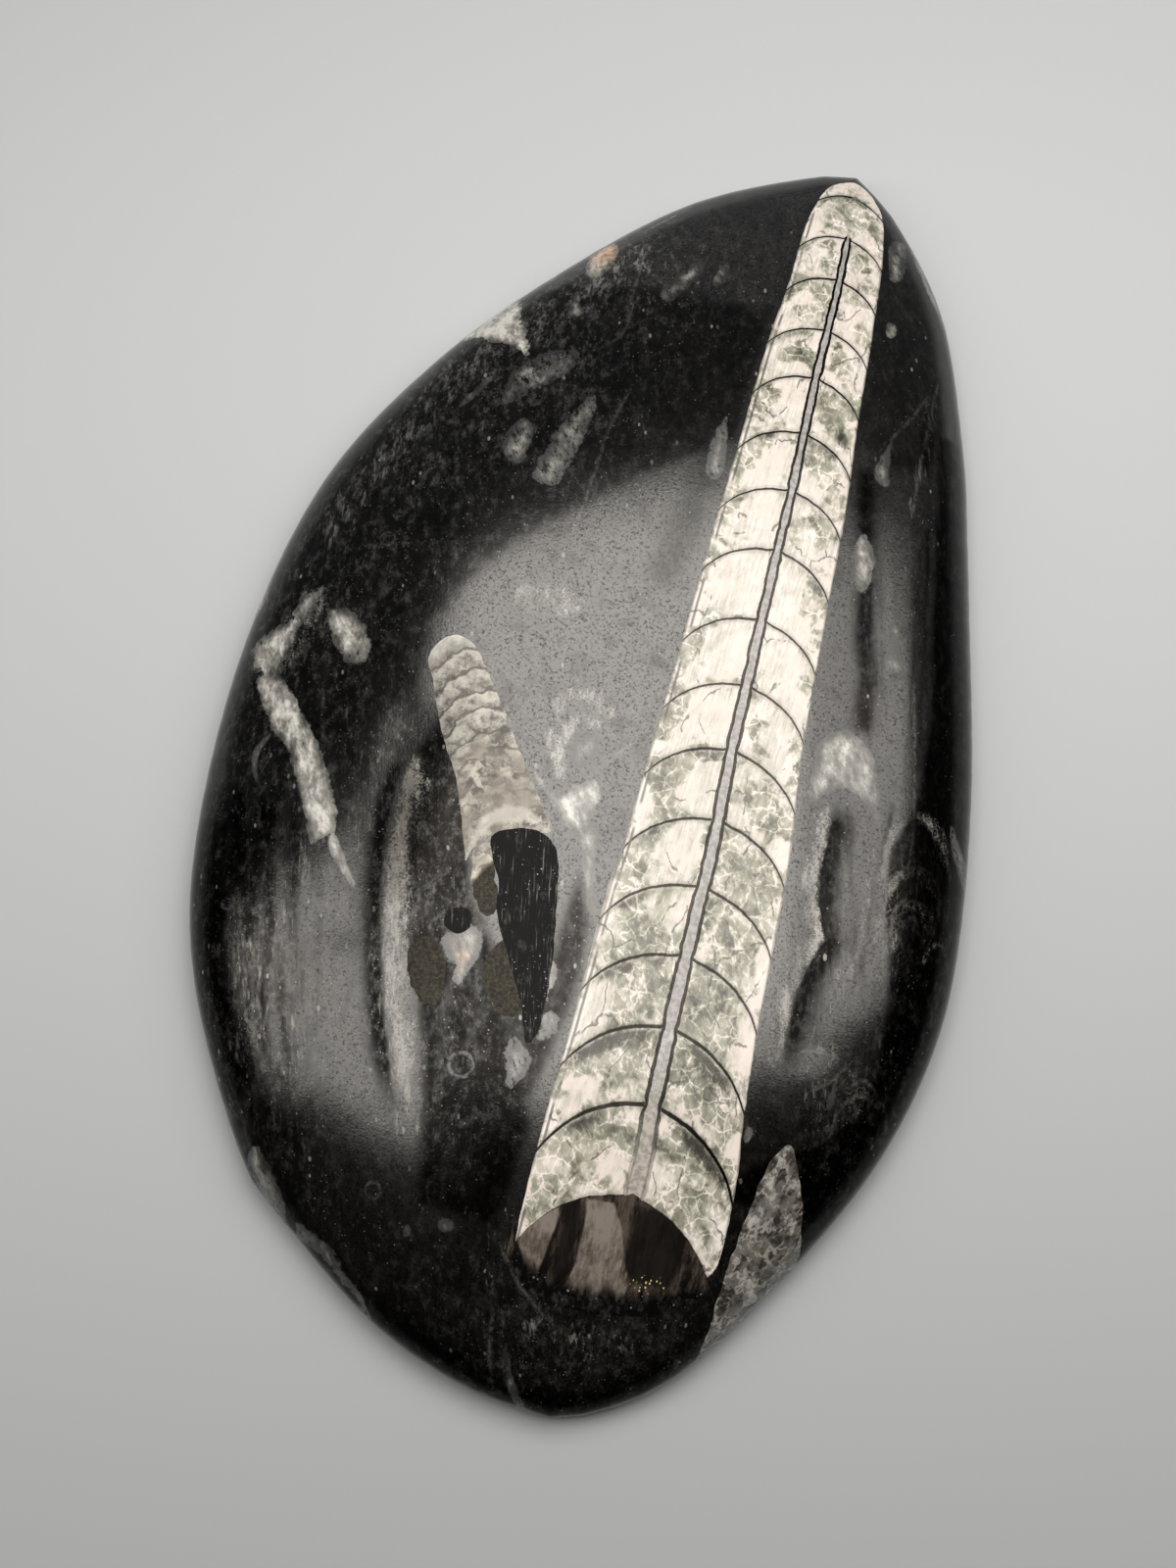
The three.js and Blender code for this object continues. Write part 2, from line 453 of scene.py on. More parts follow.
CONE_LEFT = [(90, 9.9), (74, 9.4), (64.5, 9.2), (54, 8.4), (36, 7.9), (23, 7.4), (6.5, 7.0), (-12, 6.4),
             (-21, 6.2), (-26, 5.8), (-44.5, 5.3), (-53, 4.9), (-70, 4.5), (-90, 4.2)]
CONE_RIGHT = [(90, 19.6), (82, 20.6), (73.5, 21.4), (64.5, 22.0), (54, 22.6), (44.5, 23.1), (32, 24.1),
              (18, 24.6), (-3.5, 25.6), (-18, 27.1), (-39.5, 27.9), (-51, 28.8), (-57, 29.6), (-66, 29.9),
              (-90, 31.0)]
CONE_TOP = [(9.9, 79), (10.6, 83), (11.7, 85.8), (13.9, 87.5), (16.2, 87.6), (18.3, 85.7), (20.2, 81.5)]
CONE_FOOT = [(29.8, -66), (29.2, -68.6), (26.6, -71.8), (22.7, -73.6), (17, -74.6), (11, -74.8), (7.6, -73.6),
             (5.0, -71)]
CONE_NICK = [(6.3, -21), (7.1, -22.5), (5.6, -24)]
NICK_SPAN = (-26, -21)  # between these heights the nick takes the place of the left side
SIDES_SPAN = (-66, 82)  # between these heights the outline follows the two sides
WALL_HEIGHTS = [84.9, 76.2, 68.4, 59.3, 51.3, 42.4, 33.5, 24.6, 14.3, 4.9, -4.1, -13.7, -22.6, -31.7, -40.8,
                -50.4, -61.8]
ABOVE_WALLS = 94.0
BELOW_WALLS = (-73.0, -84.0)
CHAMBER = 9.2  # usual distance between two walls
WALL_ARC = 0.92  # the share of a half circle that a wall spans
NECK = 0.10  # how far a wall drops as it leaves the tube, in chambers
NECK_HUG = 1.4  # how closely that drop hugs the tube
TUBE_ASIDE = 0.5  # how far the tube lies right of the middle
SPOT_EDGE = 0.5  # how far a spot fades past the walls of its chamber


def at_height(table, y):
    """Reads an edge, written as (height, distance across) pairs from the top down."""
    heights, across = zip(*table)
    return np.interp(-y, -np.array(heights), across)


def cone_middle(y):
    return (at_height(CONE_LEFT, y) + at_height(CONE_RIGHT, y)) / 2


def cone_half(y):
    return (at_height(CONE_RIGHT, y) - at_height(CONE_LEFT, y)) / 2


def wall_sag(y, across):
    """How far a chamber wall has dropped below its highest point, across the shell."""
    deeper = np.interp(y, [-62, -40, -30], [1.25, 1.12, 1.0])
    reachable = np.clip(np.abs(across), 0, 1.05)
    return cone_half(y) * deeper * (1 - np.sqrt(1 - (WALL_ARC * reachable) ** 2))


def cone_across(x, y):
    return (x - cone_middle(y)) / cone_half(y)


def cone_chamber(x, y):
    """Counts the chambers down the shell: a whole number is a wall, and the rest lies between."""
    top = y.copy()
    for _ in range(6):
        top = y + wall_sag(top, cone_across(x, y))
    walls = np.array([ABOVE_WALLS, *WALL_HEIGHTS, *BELOW_WALLS])
    return np.interp(-top, -walls, np.arange(len(walls)) - 1.0)


def tube_middle(y):
    return cone_middle(y) + TUBE_ASIDE


def tube_half(y):
    return np.interp(y, [-62, -45, 20, 76], [1.18, 0.92, 0.60, 0.46])


def neck_drop(tubes):
    """How far a wall has dropped beside the tube, in chambers, so many tube widths from it."""
    return NECK * (1 - np.exp(-NECK_HUG * tubes))


# Patches of clear calcite and of smoke in the chambers: chamber count down the shell, place
# across from -1 to 1, reach in millimetres along and across, and strength
CLEAR = [(0.45, 0.1, 2.5, 3.5, 0.6), (1.3, -0.35, 1.2, 1.2, 0.9), (1.4, 0.55, 1.3, 1.2, 0.8),
         (2.2, -0.9, 2.2, 1.3, 0.9), (2.6, -0.1, 1.6, 2.4, 0.4), (2.7, 0.8, 2.2, 1.4, 0.5),
         (3.6, -0.35, 1.5, 2.6, 0.8), (3.5, 0.45, 2.6, 1.6, 0.6), (4.5, -0.8, 2.6, 1.5, 0.8),
         (4.5, 0.5, 3.0, 2.4, 0.8), (5.2, -0.85, 3.4, 1.4, 1.0), (5.4, 0.45, 3.0, 2.4, 0.9),
         (6.1, -0.9, 2.4, 1.0, 0.6), (6.3, 0.7, 2.4, 2.0, 0.5), (7.3, 0.75, 2.5, 1.4, 0.5),
         (8.4, -0.9, 4.0, 1.4, 1.0), (9.3, -0.85, 3.6, 1.6, 1.0), (9.4, 0.95, 1.6, 1.3, 1.0),
         (10.3, -0.6, 2.4, 2.6, 1.1), (10.2, -0.2, 1.2, 1.6, 0.6), (10.7, 0.5, 2.0, 2.0, 0.4),
         (11.4, 0.45, 4.0, 4.6, 0.95), (11.2, -0.75, 2.6, 1.8, 0.7), (12.45, 0.5, 4.2, 3.4, 1.0),
         (12.8, -0.4, 1.6, 4.0, 0.5), (13.45, -0.35, 3.6, 3.2, 1.0), (13.5, 0.45, 3.6, 3.4, 0.9),
         (14.35, -0.5, 3.8, 3.8, 1.0), (14.35, 0.45, 3.6, 4.4, 1.0), (15.3, -0.55, 3.4, 3.4, 0.8),
         (15.3, 0.55, 3.4, 3.6, 0.8), (15.6, -0.85, 4.0, 1.2, 0.9)]
SMOKE = [(0.1, 0.2, 1.0, 1.6, 0.6), (2.15, -0.9, 1.8, 0.8, 0.5), (4.75, 0.75, 1.6, 0.9, 0.8),
         (5.05, -0.55, 1.6, 0.8, 1.0), (9.5, 0.98, 1.6, 1.0, 0.7), (10.1, -0.42, 1.0, 1.2, 0.8),
         (11.05, -0.55, 1.6, 1.6, 0.9), (11.2, 0.75, 2.2, 1.3, 0.7), (12.15, -0.62, 1.5, 2.4, 1.0),
         (12.35, -0.35, 2.6, 0.8, 0.6), (13.15, -0.7, 1.7, 2.4, 1.0), (13.35, 0.55, 2.2, 1.4, 0.8),
         (14.15, -0.55, 2.2, 4.0, 1.0), (14.2, 0.55, 1.8, 3.6, 0.9), (14.4, -0.05, 1.4, 1.0, 0.5),
         (15.1, -0.5, 1.4, 4.4, 0.55), (15.15, 0.6, 1.6, 2.8, 0.8), (15.75, 0.7, 1.6, 1.0, 0.5)]
CREAM_BLOCKS = [(5.6, -0.35, 3.0, 1.8, 1.0), (6.5, -0.3, 3.6, 2.4, 1.0), (7.5, -0.3, 4.2, 2.8, 1.0),
                (8.5, -0.25, 4.2, 2.8, 1.0), (9.5, -0.25, 4.0, 2.6, 1.0), (10.6, -0.25, 3.0, 2.4, 0.9),
                (11.5, -0.3, 3.4, 3.0, 1.0), (12.5, -0.15, 3.0, 2.0, 1.0), (8.5, 0.5, 4.0, 2.4, 0.7),
                (7.4, 0.35, 4.0, 2.2, 0.6), (12.4, 0.93, 4.0, 1.2, 0.5), (13.5, 0.93, 4.0, 1.2, 0.4),
                (14.6, 0.93, 3.6, 1.4, 0.4), (13.6, -0.85, 2.4, 2.4, 0.9), (14.8, -0.8, 2.0, 2.6, 0.8)]


def cone_spots(spots):
    """A field that sums soft spots, each placed by its chamber and its place across."""
    def value(x, y):
        out = np.zeros(len(x))
        chamber, across = cone_chamber(x, y), cone_across(x, y)
        drawn = chamber - neck_drop(np.abs(x - tube_middle(y)) / tube_half(y))
        for where, aside, tall, wide, strength in spots:
            dy = (chamber - where) * CHAMBER
            dx = (across - aside) * cone_half(y)
            past = (drawn - math.floor(where)) * CHAMBER
            within = np.clip(past + SPOT_EDGE, 0, 1) * np.clip(CHAMBER + SPOT_EDGE - past, 0, 1)
            out += strength * within * np.exp(-((dy / tall) ** 2 + (dx / wide) ** 2) ** 1.5)
        return out
    return value


fields["cone_chamber"] = cone_chamber
fields["cone_across"] = cone_across
fields["cone_tube"] = lambda x, y: (x - tube_middle(y)) / tube_half(y)
fields["cone_edge"] = lambda x, y: np.minimum(x - at_height(CONE_LEFT, y), at_height(CONE_RIGHT, y) - x)
fields["cone_clear"] = cone_spots(CLEAR)
fields["cone_smoke"] = cone_spots(SMOKE)
fields["cone_cream"] = cone_spots(CREAM_BLOCKS)

side_low, side_high = SIDES_SPAN
nick_low, nick_high = NICK_SPAN
wall_right = [(x, y) for y, x in CONE_RIGHT if side_low < y < side_high]
wall_left = [(x, y) for y, x in CONE_LEFT if side_low < y < side_high and not nick_low <= y <= nick_high]
wall_left = sorted([*wall_left, *CONE_NICK], key=lambda point: point[1])
cone_outline = curve([*CONE_TOP, *wall_right, *CONE_FOOT, *wall_left])
inlay(cone_outline, 0.10, 1.2, "orthocone_calcite")

# Cleavage mosaic: calcite crystals that meet along pale seams, as a tone for each crystal and
# the seams between them
cleavage_mosaic, n, given, result = new_group(
    "Cleavage mosaic", {"Place": "Vector", "Crystal": "Float", "Seam": "Float"},
    {"Tone": "Float", "Seams": "Float"},
)
sway = n.add("TexNoise", {"Vector": given["Place"], "Scale": 0.7, "Detail": 3.0}).outputs[1]
sway = n.add("VectorMath", {0: sway, 1: (0.5, 0.5, 0.5)}, operation="SUBTRACT").outputs[0]
sway = n.add("VectorMath", {0: sway, "Scale": 1.6}, operation="SCALE").outputs[0]
swayed = n.add("VectorMath", {0: given["Place"], 1: sway}, operation="ADD").outputs[0]
cell_inputs = {"Vector": swayed, "Scale": n.scale(given["Crystal"])}
crystals = n.add("TexVoronoi", cell_inputs).outputs
n.join(n.add("SeparateColor", {0: crystals["Color"]}).outputs[0], result["Tone"])
seams = n.add("TexVoronoi", cell_inputs, feature="DISTANCE_TO_EDGE").outputs["Distance"]
seam_width = n.maths("DIVIDE", n.product(seams, given["Crystal"]), given["Seam"])
n.join(n.fade(seam_width, 0.25, 1.0, 1.0, 0.0), result["Seams"])


def crystals_of(n, place, size, seam):
    """The tone and the seams of a mosaic of crystals of a size."""
    return n.use(cleavage_mosaic, {"Place": place, "Crystal": size, "Seam": seam})


# Calcite from smoky through clear grey-green to opaque cream, by how milky it is
CALCITE = [(0.00, (0.022, 0.020, 0.018)), (0.20, (0.060, 0.057, 0.050)), (0.42, (0.172, 0.169, 0.138)),
           (0.62, (0.330, 0.326, 0.264)), (0.80, (0.510, 0.480, 0.438)), (1.00, (0.74, 0.70, 0.66))]
CREAM_PINK = (0.64, 0.565, 0.520)
SEAM_PALE = (0.58, 0.57, 0.53)
SMOKE_BROWN = (0.105, 0.101, 0.082)
SMOKE_DARK = (0.050, 0.047, 0.040)
CLEAR_GREY = (0.20, 0.20, 0.185)
WALL_DARK = (0.009, 0.008, 0.007)
TUBE_FILL = (0.36, 0.34, 0.345)
TUBE_LATE = (0.40, 0.36, 0.33)

orthocone_calcite, n, shader = new_material("orthocone_calcite")
place = n.millimetres()
tube = n.field("cone_tube")
edge = n.field("cone_edge")
neck = n.maths("SUBTRACT", 1.0, n.maths("EXPONENT", n.product(n.maths("ABSOLUTE", tube), -NECK_HUG)))
wall_count = n.maths("MULTIPLY_ADD", neck, -NECK, n.field("cone_chamber"))
wall_count = n.total(wall_count, n.swing(n.clouds(place, 1.3), 0.03))
to_wall = n.product(n.maths("PINGPONG", wall_count, 0.5), CHAMBER)
past_wall = n.product(n.maths("FRACT", wall_count), CHAMBER)
in_walls = n.maths("GREATER_THAN", wall_count, -0.4)

brushing = n.clouds(n.lying(place, -3, 11.0), 0.34, roughness=0.65)
patchy = n.clouds(place, 3.4, detail=6.0, roughness=0.66)
glassy = n.clouds(place, 3.6, roughness=0.52, warp=0.5)
grainy = n.clouds(n.lying(place, -3, 1.8), 0.75, detail=5.0, roughness=0.72)
mosaic = crystals_of(n, place, 2.3, 0.15)
splinters = crystals_of(n, n.lying(place, 40, 2.6), 1.0, 0.16)
clear_share = n.total(
    n.field("cone_clear"),
    n.product(n.field("cone_cream"), -0.9),
    n.maths("MULTIPLY_ADD", glassy, 2.4, -1.12),
    n.swing(patchy, 0.6),
    n.product(n.fade(wall_count, 9.5, 11.5), 0.20),
    n.swing(mosaic["Tone"], 0.20),
)
clear_mask = n.fade(clear_share, 0.0, 0.42)
smoke_brush = n.clouds(n.lying(place, -3, 4.5), 1.0, detail=6.0, roughness=0.72)
under_wall = n.product(n.fade(past_wall, 0.0, 3.4, 0.60, 0.0), n.fade(n.clouds(place, 4.5), 0.44, 0.60))
smoke_share = n.total(
    n.field("cone_smoke"),
    under_wall,
    n.maths("MULTIPLY_ADD", smoke_brush, 2.2, -1.15),
    n.swing(grainy, 0.8),
)
smoke_mask = n.fade(smoke_share, 0.05, 1.25)
milk = n.total(
    n.fade(wall_count, 8.5, 10.5, 0.87, 0.83),
    n.fade(wall_count, 14.6, 15.4, 0.0, 0.05),
    n.product(clear_mask, -0.33),
    n.product(smoke_mask, -0.54),
    n.swing(patchy, 0.50),
    n.product(n.swing(n.clouds(place, 3.0, detail=2.0, warp=0.6), 0.95), clear_mask),
    n.swing(grainy, 0.42),
    n.product(n.maths("SUBTRACT", brushing, 0.5), n.fade(clear_mask, 0.0, 1.0, 0.50, 0.22)),
    n.product(n.swing(mosaic["Tone"], 0.16), clear_mask),
    n.product(n.swing(splinters["Tone"], 0.14), clear_mask),
    n.product(mosaic["Seams"], clear_mask, n.fade(patchy, 0.38, 0.60, 0.04, 0.32)),
    n.product(splinters["Seams"], clear_mask, n.fade(grainy, 0.48, 0.58), 0.20),
    n.product(n.fade(edge, 0.4, 2.8, 0.13, 0.0), n.fade(wall_count, 8.0, 10.5)),
)
colour = n.ramp(milk, CALCITE)
colour = n.mix(n.product(smoke_mask, 0.35), colour, SMOKE_BROWN)
blush = n.product(n.fade(n.clouds(place, 7.0), 0.42, 0.62), n.fade(milk, 0.66, 0.9), 0.7)
colour = n.mix(blush, colour, CREAM_PINK)

cracks = crystals_of(n, n.lying(place, -3, 1.7), 6.5, 0.14)["Seams"]
crack_mask = n.product(cracks, n.fade(n.clouds(place, 3.0), 0.50, 0.56), 0.75)
colour = n.mix(crack_mask, colour, SMOKE_DARK)

wall_thick = n.fade(wall_count, 6.0, 13.0, 0.21, 0.30)
wall_mask = n.product(n.fade(n.maths("DIVIDE", to_wall, wall_thick), 0.50, 1.10, 1.0, 0.0), in_walls)
outside_tube = n.fade(n.maths("ABSOLUTE", tube), 0.9, 1.1)
halo = n.product(n.fade(past_wall, 0.25, 0.75, 0.45, 0.0), outside_tube, n.fade(grainy, 0.40, 0.60))
colour = n.mix(halo, colour, SEAM_PALE)
line_fog = n.fade(to_wall, 0.2, 0.9, 0.30, 0.0)
colour = n.mix(line_fog, colour, SMOKE_DARK)

pinch = n.fade(to_wall, 0.0, 1.2, 0.84, 1.0)
tube = n.maths("DIVIDE", n.maths("ABSOLUTE", tube), pinch)
has_tube = n.maths("GREATER_THAN", wall_count, 0.96)
tube_inside = n.product(n.fade(tube, 0.92, 1.02, 1.0, 0.0), has_tube)
tube_tone = n.mix(n.fade(wall_count, 14.2, 15.4), TUBE_FILL, TUBE_LATE)
tube_tone = n.mix(n.fade(n.clouds(place, 0.6, detail=4.0), 0.38, 0.62, 0.8, 0.0), tube_tone, CLEAR_GREY)
colour = n.mix(tube_inside, colour, tube_tone)
tube_size = n.fade(wall_count, 1.0, 16.0, 0.46, 1.18)
tube_ripple = n.swing(n.clouds(place, 2.2), 0.62)
tube_wall = n.maths("ABSOLUTE", n.total(n.product(n.maths("SUBTRACT", tube, 1.0), tube_size), tube_ripple))
tube_dark = n.fade(n.product(tube_wall, n.fade(wall_count, 2.0, 11.0, 1.75, 1.0)), 0.25, 0.38, 1.0, 0.0)
tube_mask = n.product(tube_dark, has_tube, n.fade(wall_count, 14.9, 15.7, 1.0, 0.25))
line_mask = n.greatest(n.product(wall_mask, outside_tube), tube_mask)
colour = n.mix(n.product(line_mask, 0.96), colour, WALL_DARK)
edge_line = n.fade(n.maths("ABSOLUTE", n.maths("SUBTRACT", edge, 0.62)), 0.10, 0.24, 1.0, 0.0)
left_side = n.fade(n.field("cone_across"), -0.2, 0.0, 1.0, 0.0)
edge_line = n.product(edge_line, left_side, n.fade(n.clouds(place, 6.0), 0.40, 0.50), 0.75)
colour = n.mix(n.greatest(edge_line, n.fade(edge, 0.05, 0.28, 0.6, 0.0)), colour, SMOKE_DARK)
n.join(colour, shader["Base Color"])
n.join(n.maths("MULTIPLY_ADD", patchy, 0.10, 0.18), shader["Roughness"])
n.join(n.product(n.greatest(line_mask, n.product(smoke_mask, 0.35)), 0.95), shader["Metallic"])
groove = n.product(line_mask, -1.2)
polish(n, shader, place, pit=0.35, rub=0.8, strength=0.12, depth=0.08, relief=groove)
shader["IOR"].default_value = 1.6
shader["Specular IOR Level"].default_value = 0.26


# The orthocone's living chamber.
# Below the last wall the shell was open, and dark brown spar has grown in it as tall crystals.
# It fades into the black stone at the foot, and a pinch of pyrite shines in it.

SPAR_POINTS = 40  # along its top, which follows the last wall
last_wall = WALL_HEIGHTS[-1]
spar_across = np.linspace(-0.97, 0.97, SPAR_POINTS)
spar_drop = wall_sag(np.full(SPAR_POINTS, last_wall), spar_across)
spar_aside = np.abs(spar_across * cone_half(last_wall) - TUBE_ASIDE) / tube_half(last_wall)
spar_drop += CHAMBER * neck_drop(spar_aside)
spar_top = [
    (cone_middle(y) + a * cone_half(y), y) for a, y in zip(spar_across, last_wall - spar_drop)
]
SPAR_FOOT = [(30.3, -67), (29.9, -69.8), (27.2, -73.2), (23, -75.6), (17, -76.9), (11, -77.2), (7.2, -76),
             (4.2, -72.6), (4.2, -69)]
patches.append((shard([*spar_top, *SPAR_FOOT]), "smoky_spar"))

# Clear stretches of the spar, each an outline and how far its edge is drawn in
CLEAR_STRETCHES = [
    ([(12.2, -64), (15.7, -63.6), (17.4, -67), (18.6, -70), (19.6, -73), (19.2, -75.4), (11.6, -75.4),
      (12.6, -72), (12.8, -68)], 0.0),
    ([(26.0, -70.2), (27.7, -72), (26.6, -74.2), (23.8, -74.8)], 0.2),
    ([(5.4, -68), (7.6, -66), (9.8, -65.2), (9.6, -69), (9.0, -73), (8.6, -76), (6.4, -73.6),
      (5.0, -71)], 0.3),
]
# Soft blots: centre, reach across and along, how square each way, and strength
DARK_BLOTS = [((21.6, -67.6), (3.4, 4.8), (4, 4), 1.0), ((11.0, -69.6), (1.2, 6.0), (2, 4), 0.8)]
PYRITE_BLOTS = [((21.6, -72.2), (1.7, 0.9), (2, 2), 1.5), ((23.4, -71.6), (2.0, 0.8), (2, 2), 0.6)]
SPAR_FADES = ([5, 12, 20, 28], [-73.6, -75.6, -74.8, -72.0])  # where the spar ends, across the shell


def blots(spots):
    """A field that sums soft blots."""
    def value(x, y):
        out = np.zeros(len(x))
        for (cx, cy), (wide, tall), (square_across, square_along), strength in spots:
            across, along = np.abs(x - cx) / wide, np.abs(y - cy) / tall
            out += strength * np.exp(-(across**square_across + along**square_along))
        return out
    return value


fields["spar_pillar"] = lambda x, y: np.maximum.reduce([
    inside_by(x, y, outline) - drawn_in for outline, drawn_in in CLEAR_STRETCHES
]).clip(-3, 3)
fields["spar_depth"] = lambda x, y: (y - np.interp(x, *SPAR_FADES)).clip(-1, 9)
fields["spar_dark"] = blots(DARK_BLOTS)
fields["pyrite"] = blots(PYRITE_BLOTS)

SPAR_BLACK = (0.006, 0.0052, 0.0045)
SPAR_BROWN = (0.072, 0.056, 0.045)
SPAR_CLEAR = (0.195, 0.172, 0.152)
PYRITE = (0.95, 0.82, 0.42)

smoky_spar, n, shader = new_material("smoky_spar")
place = n.millimetres()
columns = n.lying(place, 4, 5.0)
column_tone = crystals_of(n, columns, 1.7, 0.12)["Tone"]
veil = n.clouds(columns, 1.5, detail=5.0, roughness=0.6)
depth = n.field("spar_depth")
fibres = n.clouds(n.lying(place, 4, 8.0), 0.4, detail=4.0, roughness=0.7)
brown_share = n.total(veil, n.swing(fibres, 0.5), n.product(column_tone, 0.14))
colour = n.mix(n.fade(brown_share, 0.46, 0.78), SPAR_BLACK, SPAR_BROWN)
pillar = n.fade(n.total(n.field("spar_pillar"), n.swing(veil, 1.0)), -0.15, 0.25)
pillar_share = n.total(
    n.clouds(n.lying(place, 4, 1.8), 2.0, detail=5.0, roughness=0.7),
    n.swing(fibres, 0.7),
    n.fade(depth, 1.0, 9.0, 0.10, -0.06),
)
pillar_colour = n.mix(n.fade(pillar_share, 0.35, 0.75), SPAR_CLEAR, SPAR_BROWN)
colour = n.mix(n.product(pillar, 0.9), colour, pillar_colour)
dark_share = n.total(n.field("spar_dark"), n.swing(fibres, 0.8))
colour = n.mix(n.product(n.fade(dark_share, 0.2, 0.6), 0.92), colour, SPAR_BLACK)
foot_share = n.total(depth, n.swing(fibres, 2.4), n.swing(veil, 4.0))
colour = n.mix(n.fade(foot_share, 0.2, 2.4, 1.0, 0.0), colour, MUD)
foot_ghosts = n.clouds(n.lying(place, LAY, 1.5), 1.3, detail=6.0, roughness=0.78)
foot_ghosts = n.product(n.fade(foot_ghosts, 0.48, 0.68), n.fade(depth, 0.0, 2.0, 0.7, 0.0))
colour = n.mix(foot_ghosts, colour, GHOST_GREY)
foot_dust = dusting_of(n, place, 0.5, 0.40)
colour = n.mix(n.product(foot_dust, n.fade(depth, 0.5, 2.5, 0.7, 0.0)), colour, DUST)
flakes = dusting_of(n, n.lying(place, 0, 1.6), 0.34, 1.0)
pyrite_share = n.total(n.field("pyrite"), n.swing(n.clouds(place, 0.6), 1.6))
pyrite_mask = n.product(n.fade(flakes, 0.02, 0.15), n.fade(pyrite_share, 0.35, 0.65))
colour = n.mix(pyrite_mask, colour, PYRITE)
n.join(colour, shader["Base Color"])
n.join(n.product(pyrite_mask, 0.5), shader["Metallic"])
n.join(n.maths("MULTIPLY_ADD", veil, 0.12, 0.12), shader["Roughness"])
polish(n, shader, place, pit=0.35, rub=0.6, strength=0.10, depth=0.08)
shader["IOR"].default_value = 1.6
shader["Specular IOR Level"].default_value = 0.22


# The smaller orthocone.
# A second straight shell, cut at a slant. Its tip shows as nested grey crescents, its chambers
# are brown spar, and its mouth is packed with jet-black mud that took a mirror polish.

TIP = (-21.5, 1.0)
TIP_LEAN = math.atan2(0.52, 0.854)
TIP_HALF = 2.6
TIP_WIDENS = 0.17
TIP_DOME = 0.75
TIP_ARC = 0.88
SMALL_CONE = [(-24.6, -2.2), (-24.2, -0.2), (-23.1, 1.4), (-21.7, 2.1), (-19.8, 1.6), (-18.2, 0.2), (-15, -4),
              (-11.7, -8.7), (-8.4, -13.4), (-5.5, -17.4), (-3.2, -20.6), (-5.0, -21.6), (-7.8, -21.8),
              (-10.5, -23.2), (-12.4, -25.8), (-12.8, -27.2), (-13.6, -25), (-15.2, -20.8), (-16.9, -16.8),
              (-20.4, -11), (-23.4, -4.4)]
BLACK_FILL = [(-10.4, -23.4), (-8.6, -21.9), (-5.2, -21.2), (-2.8, -22.2), (-1.3, -24.6), (-0.3, -29.5),
              (0.7, -34.6), (1.3, -39.4), (1.5, -45.4), (0.4, -47.6), (-1.6, -42.8), (-4.2, -38.2),
              (-7.2, -32.8), (-8.0, -29), (-9.6, -26)]
BROWN_LOBES = [
    [(-12, -25.9), (-10.3, -24.2), (-8.4, -28.9), (-7.3, -31.9), (-8.2, -33.4), (-9.7, -32.5),
     (-11.3, -29.6)],
    [(-7, -38.2), (-5.4, -35.9), (-3.1, -38.5), (-1.6, -41.3), (-1.3, -44.4), (-3.4, -44.9), (-5.3, -43.5),
     (-6.9, -41.3)],
    [(-16.9, -39.3), (-15.0, -37.6), (-13.2, -38.4), (-11.6, -41.3), (-11.5, -44.6), (-13.4, -45.8),
     (-15.8, -43.2)],
]


def small_down(x, y):
    """Distance down the smaller shell from its tip, bent so that each arc of it is level."""
    dx, dy = x - TIP[0], y - TIP[1]
    down = dx * math.sin(TIP_LEAN) - dy * math.cos(TIP_LEAN)
    aside = dx * math.cos(TIP_LEAN) + dy * math.sin(TIP_LEAN)
    half = TIP_HALF + TIP_WIDENS * np.clip(down, 0, 40)
    bend = np.clip(aside / half, -1.05, 1.05)
    return down - half * TIP_DOME * (1 - np.sqrt(1 - (TIP_ARC * bend) ** 2))


SMALL_LIP = [(-13.4, -24.8), (-12.1, -20.6), (-9.2, -18.5), (-5.6, -18.7), (-2.8, -21.6), (-1.8, -23),
             (-5, -21), (-7.8, -21.2), (-10.9, -22.7), (-12.5, -27.4)]
MUD_DISC = [(-11.8, -33.0), (-10.3, -33.6), (-10.1, -35.3), (-11.5, -36.4), (-13.2, -35.8), (-13.4, -34)]
fields["small_down"] = small_down
fields["small_lip"] = lambda x, y: inside_by(x, y, curve(SMALL_LIP)).clip(-3, 3)
inlay(curve(SMALL_CONE), 0.14, 0.9, "brown_spar")
for lobe in BROWN_LOBES:
    inlay(curve(lobe), 0.3, 0.9, "brown_spar")
for fill in (BLACK_FILL, MUD_DISC):
    inlay(curve(fill), 0.12, 1.0, "jet_fill")

BROWN_PALE = (0.25, 0.237, 0.208)
BROWN_MID = (0.095, 0.084, 0.070)
BROWN_DEEP = (0.026, 0.022, 0.018)
TIP_PALE = (0.27, 0.262, 0.238)
LOBE_DARK = (0.0045, 0.0040, 0.0033)
LOBE_OLIVE = (0.022, 0.0195, 0.0135)

brown_spar, n, shader = new_material("brown_spar")
place = n.millimetres()
down = n.field("small_down")
crumbs = crystals_of(n, place, 1.15, 0.22)["Tone"]
curd = n.clouds(place, 1.5, detail=6.0, roughness=0.74)
colour = n.mix(n.fade(n.total(n.product(crumbs, 0.25), curd), 0.45, 0.80), BROWN_DEEP, BROWN_PALE)
colour = n.mix(n.fade(n.clouds(place, 4.0), 0.40, 0.60, 0.1, 0.75), colour, BROWN_MID)
arcs = n.maths("MULTIPLY_ADD", n.clouds(place, 2.2, detail=4.0), 1.1, n.maths("DIVIDE", down, 2.9))
past_arc = n.maths("FRACT", arcs)
tip_share = n.fade(down, 10.0, 15.0, 0.85, 0.0)
tip_tone = n.total(n.fade(past_arc, 0.0, 0.85, 0.85, 0.40), n.swing(curd, 2.6))
colour = n.mix(tip_share, colour, n.mix(n.fade(tip_tone, 0.0, 1.0), BROWN_DEEP, TIP_PALE))
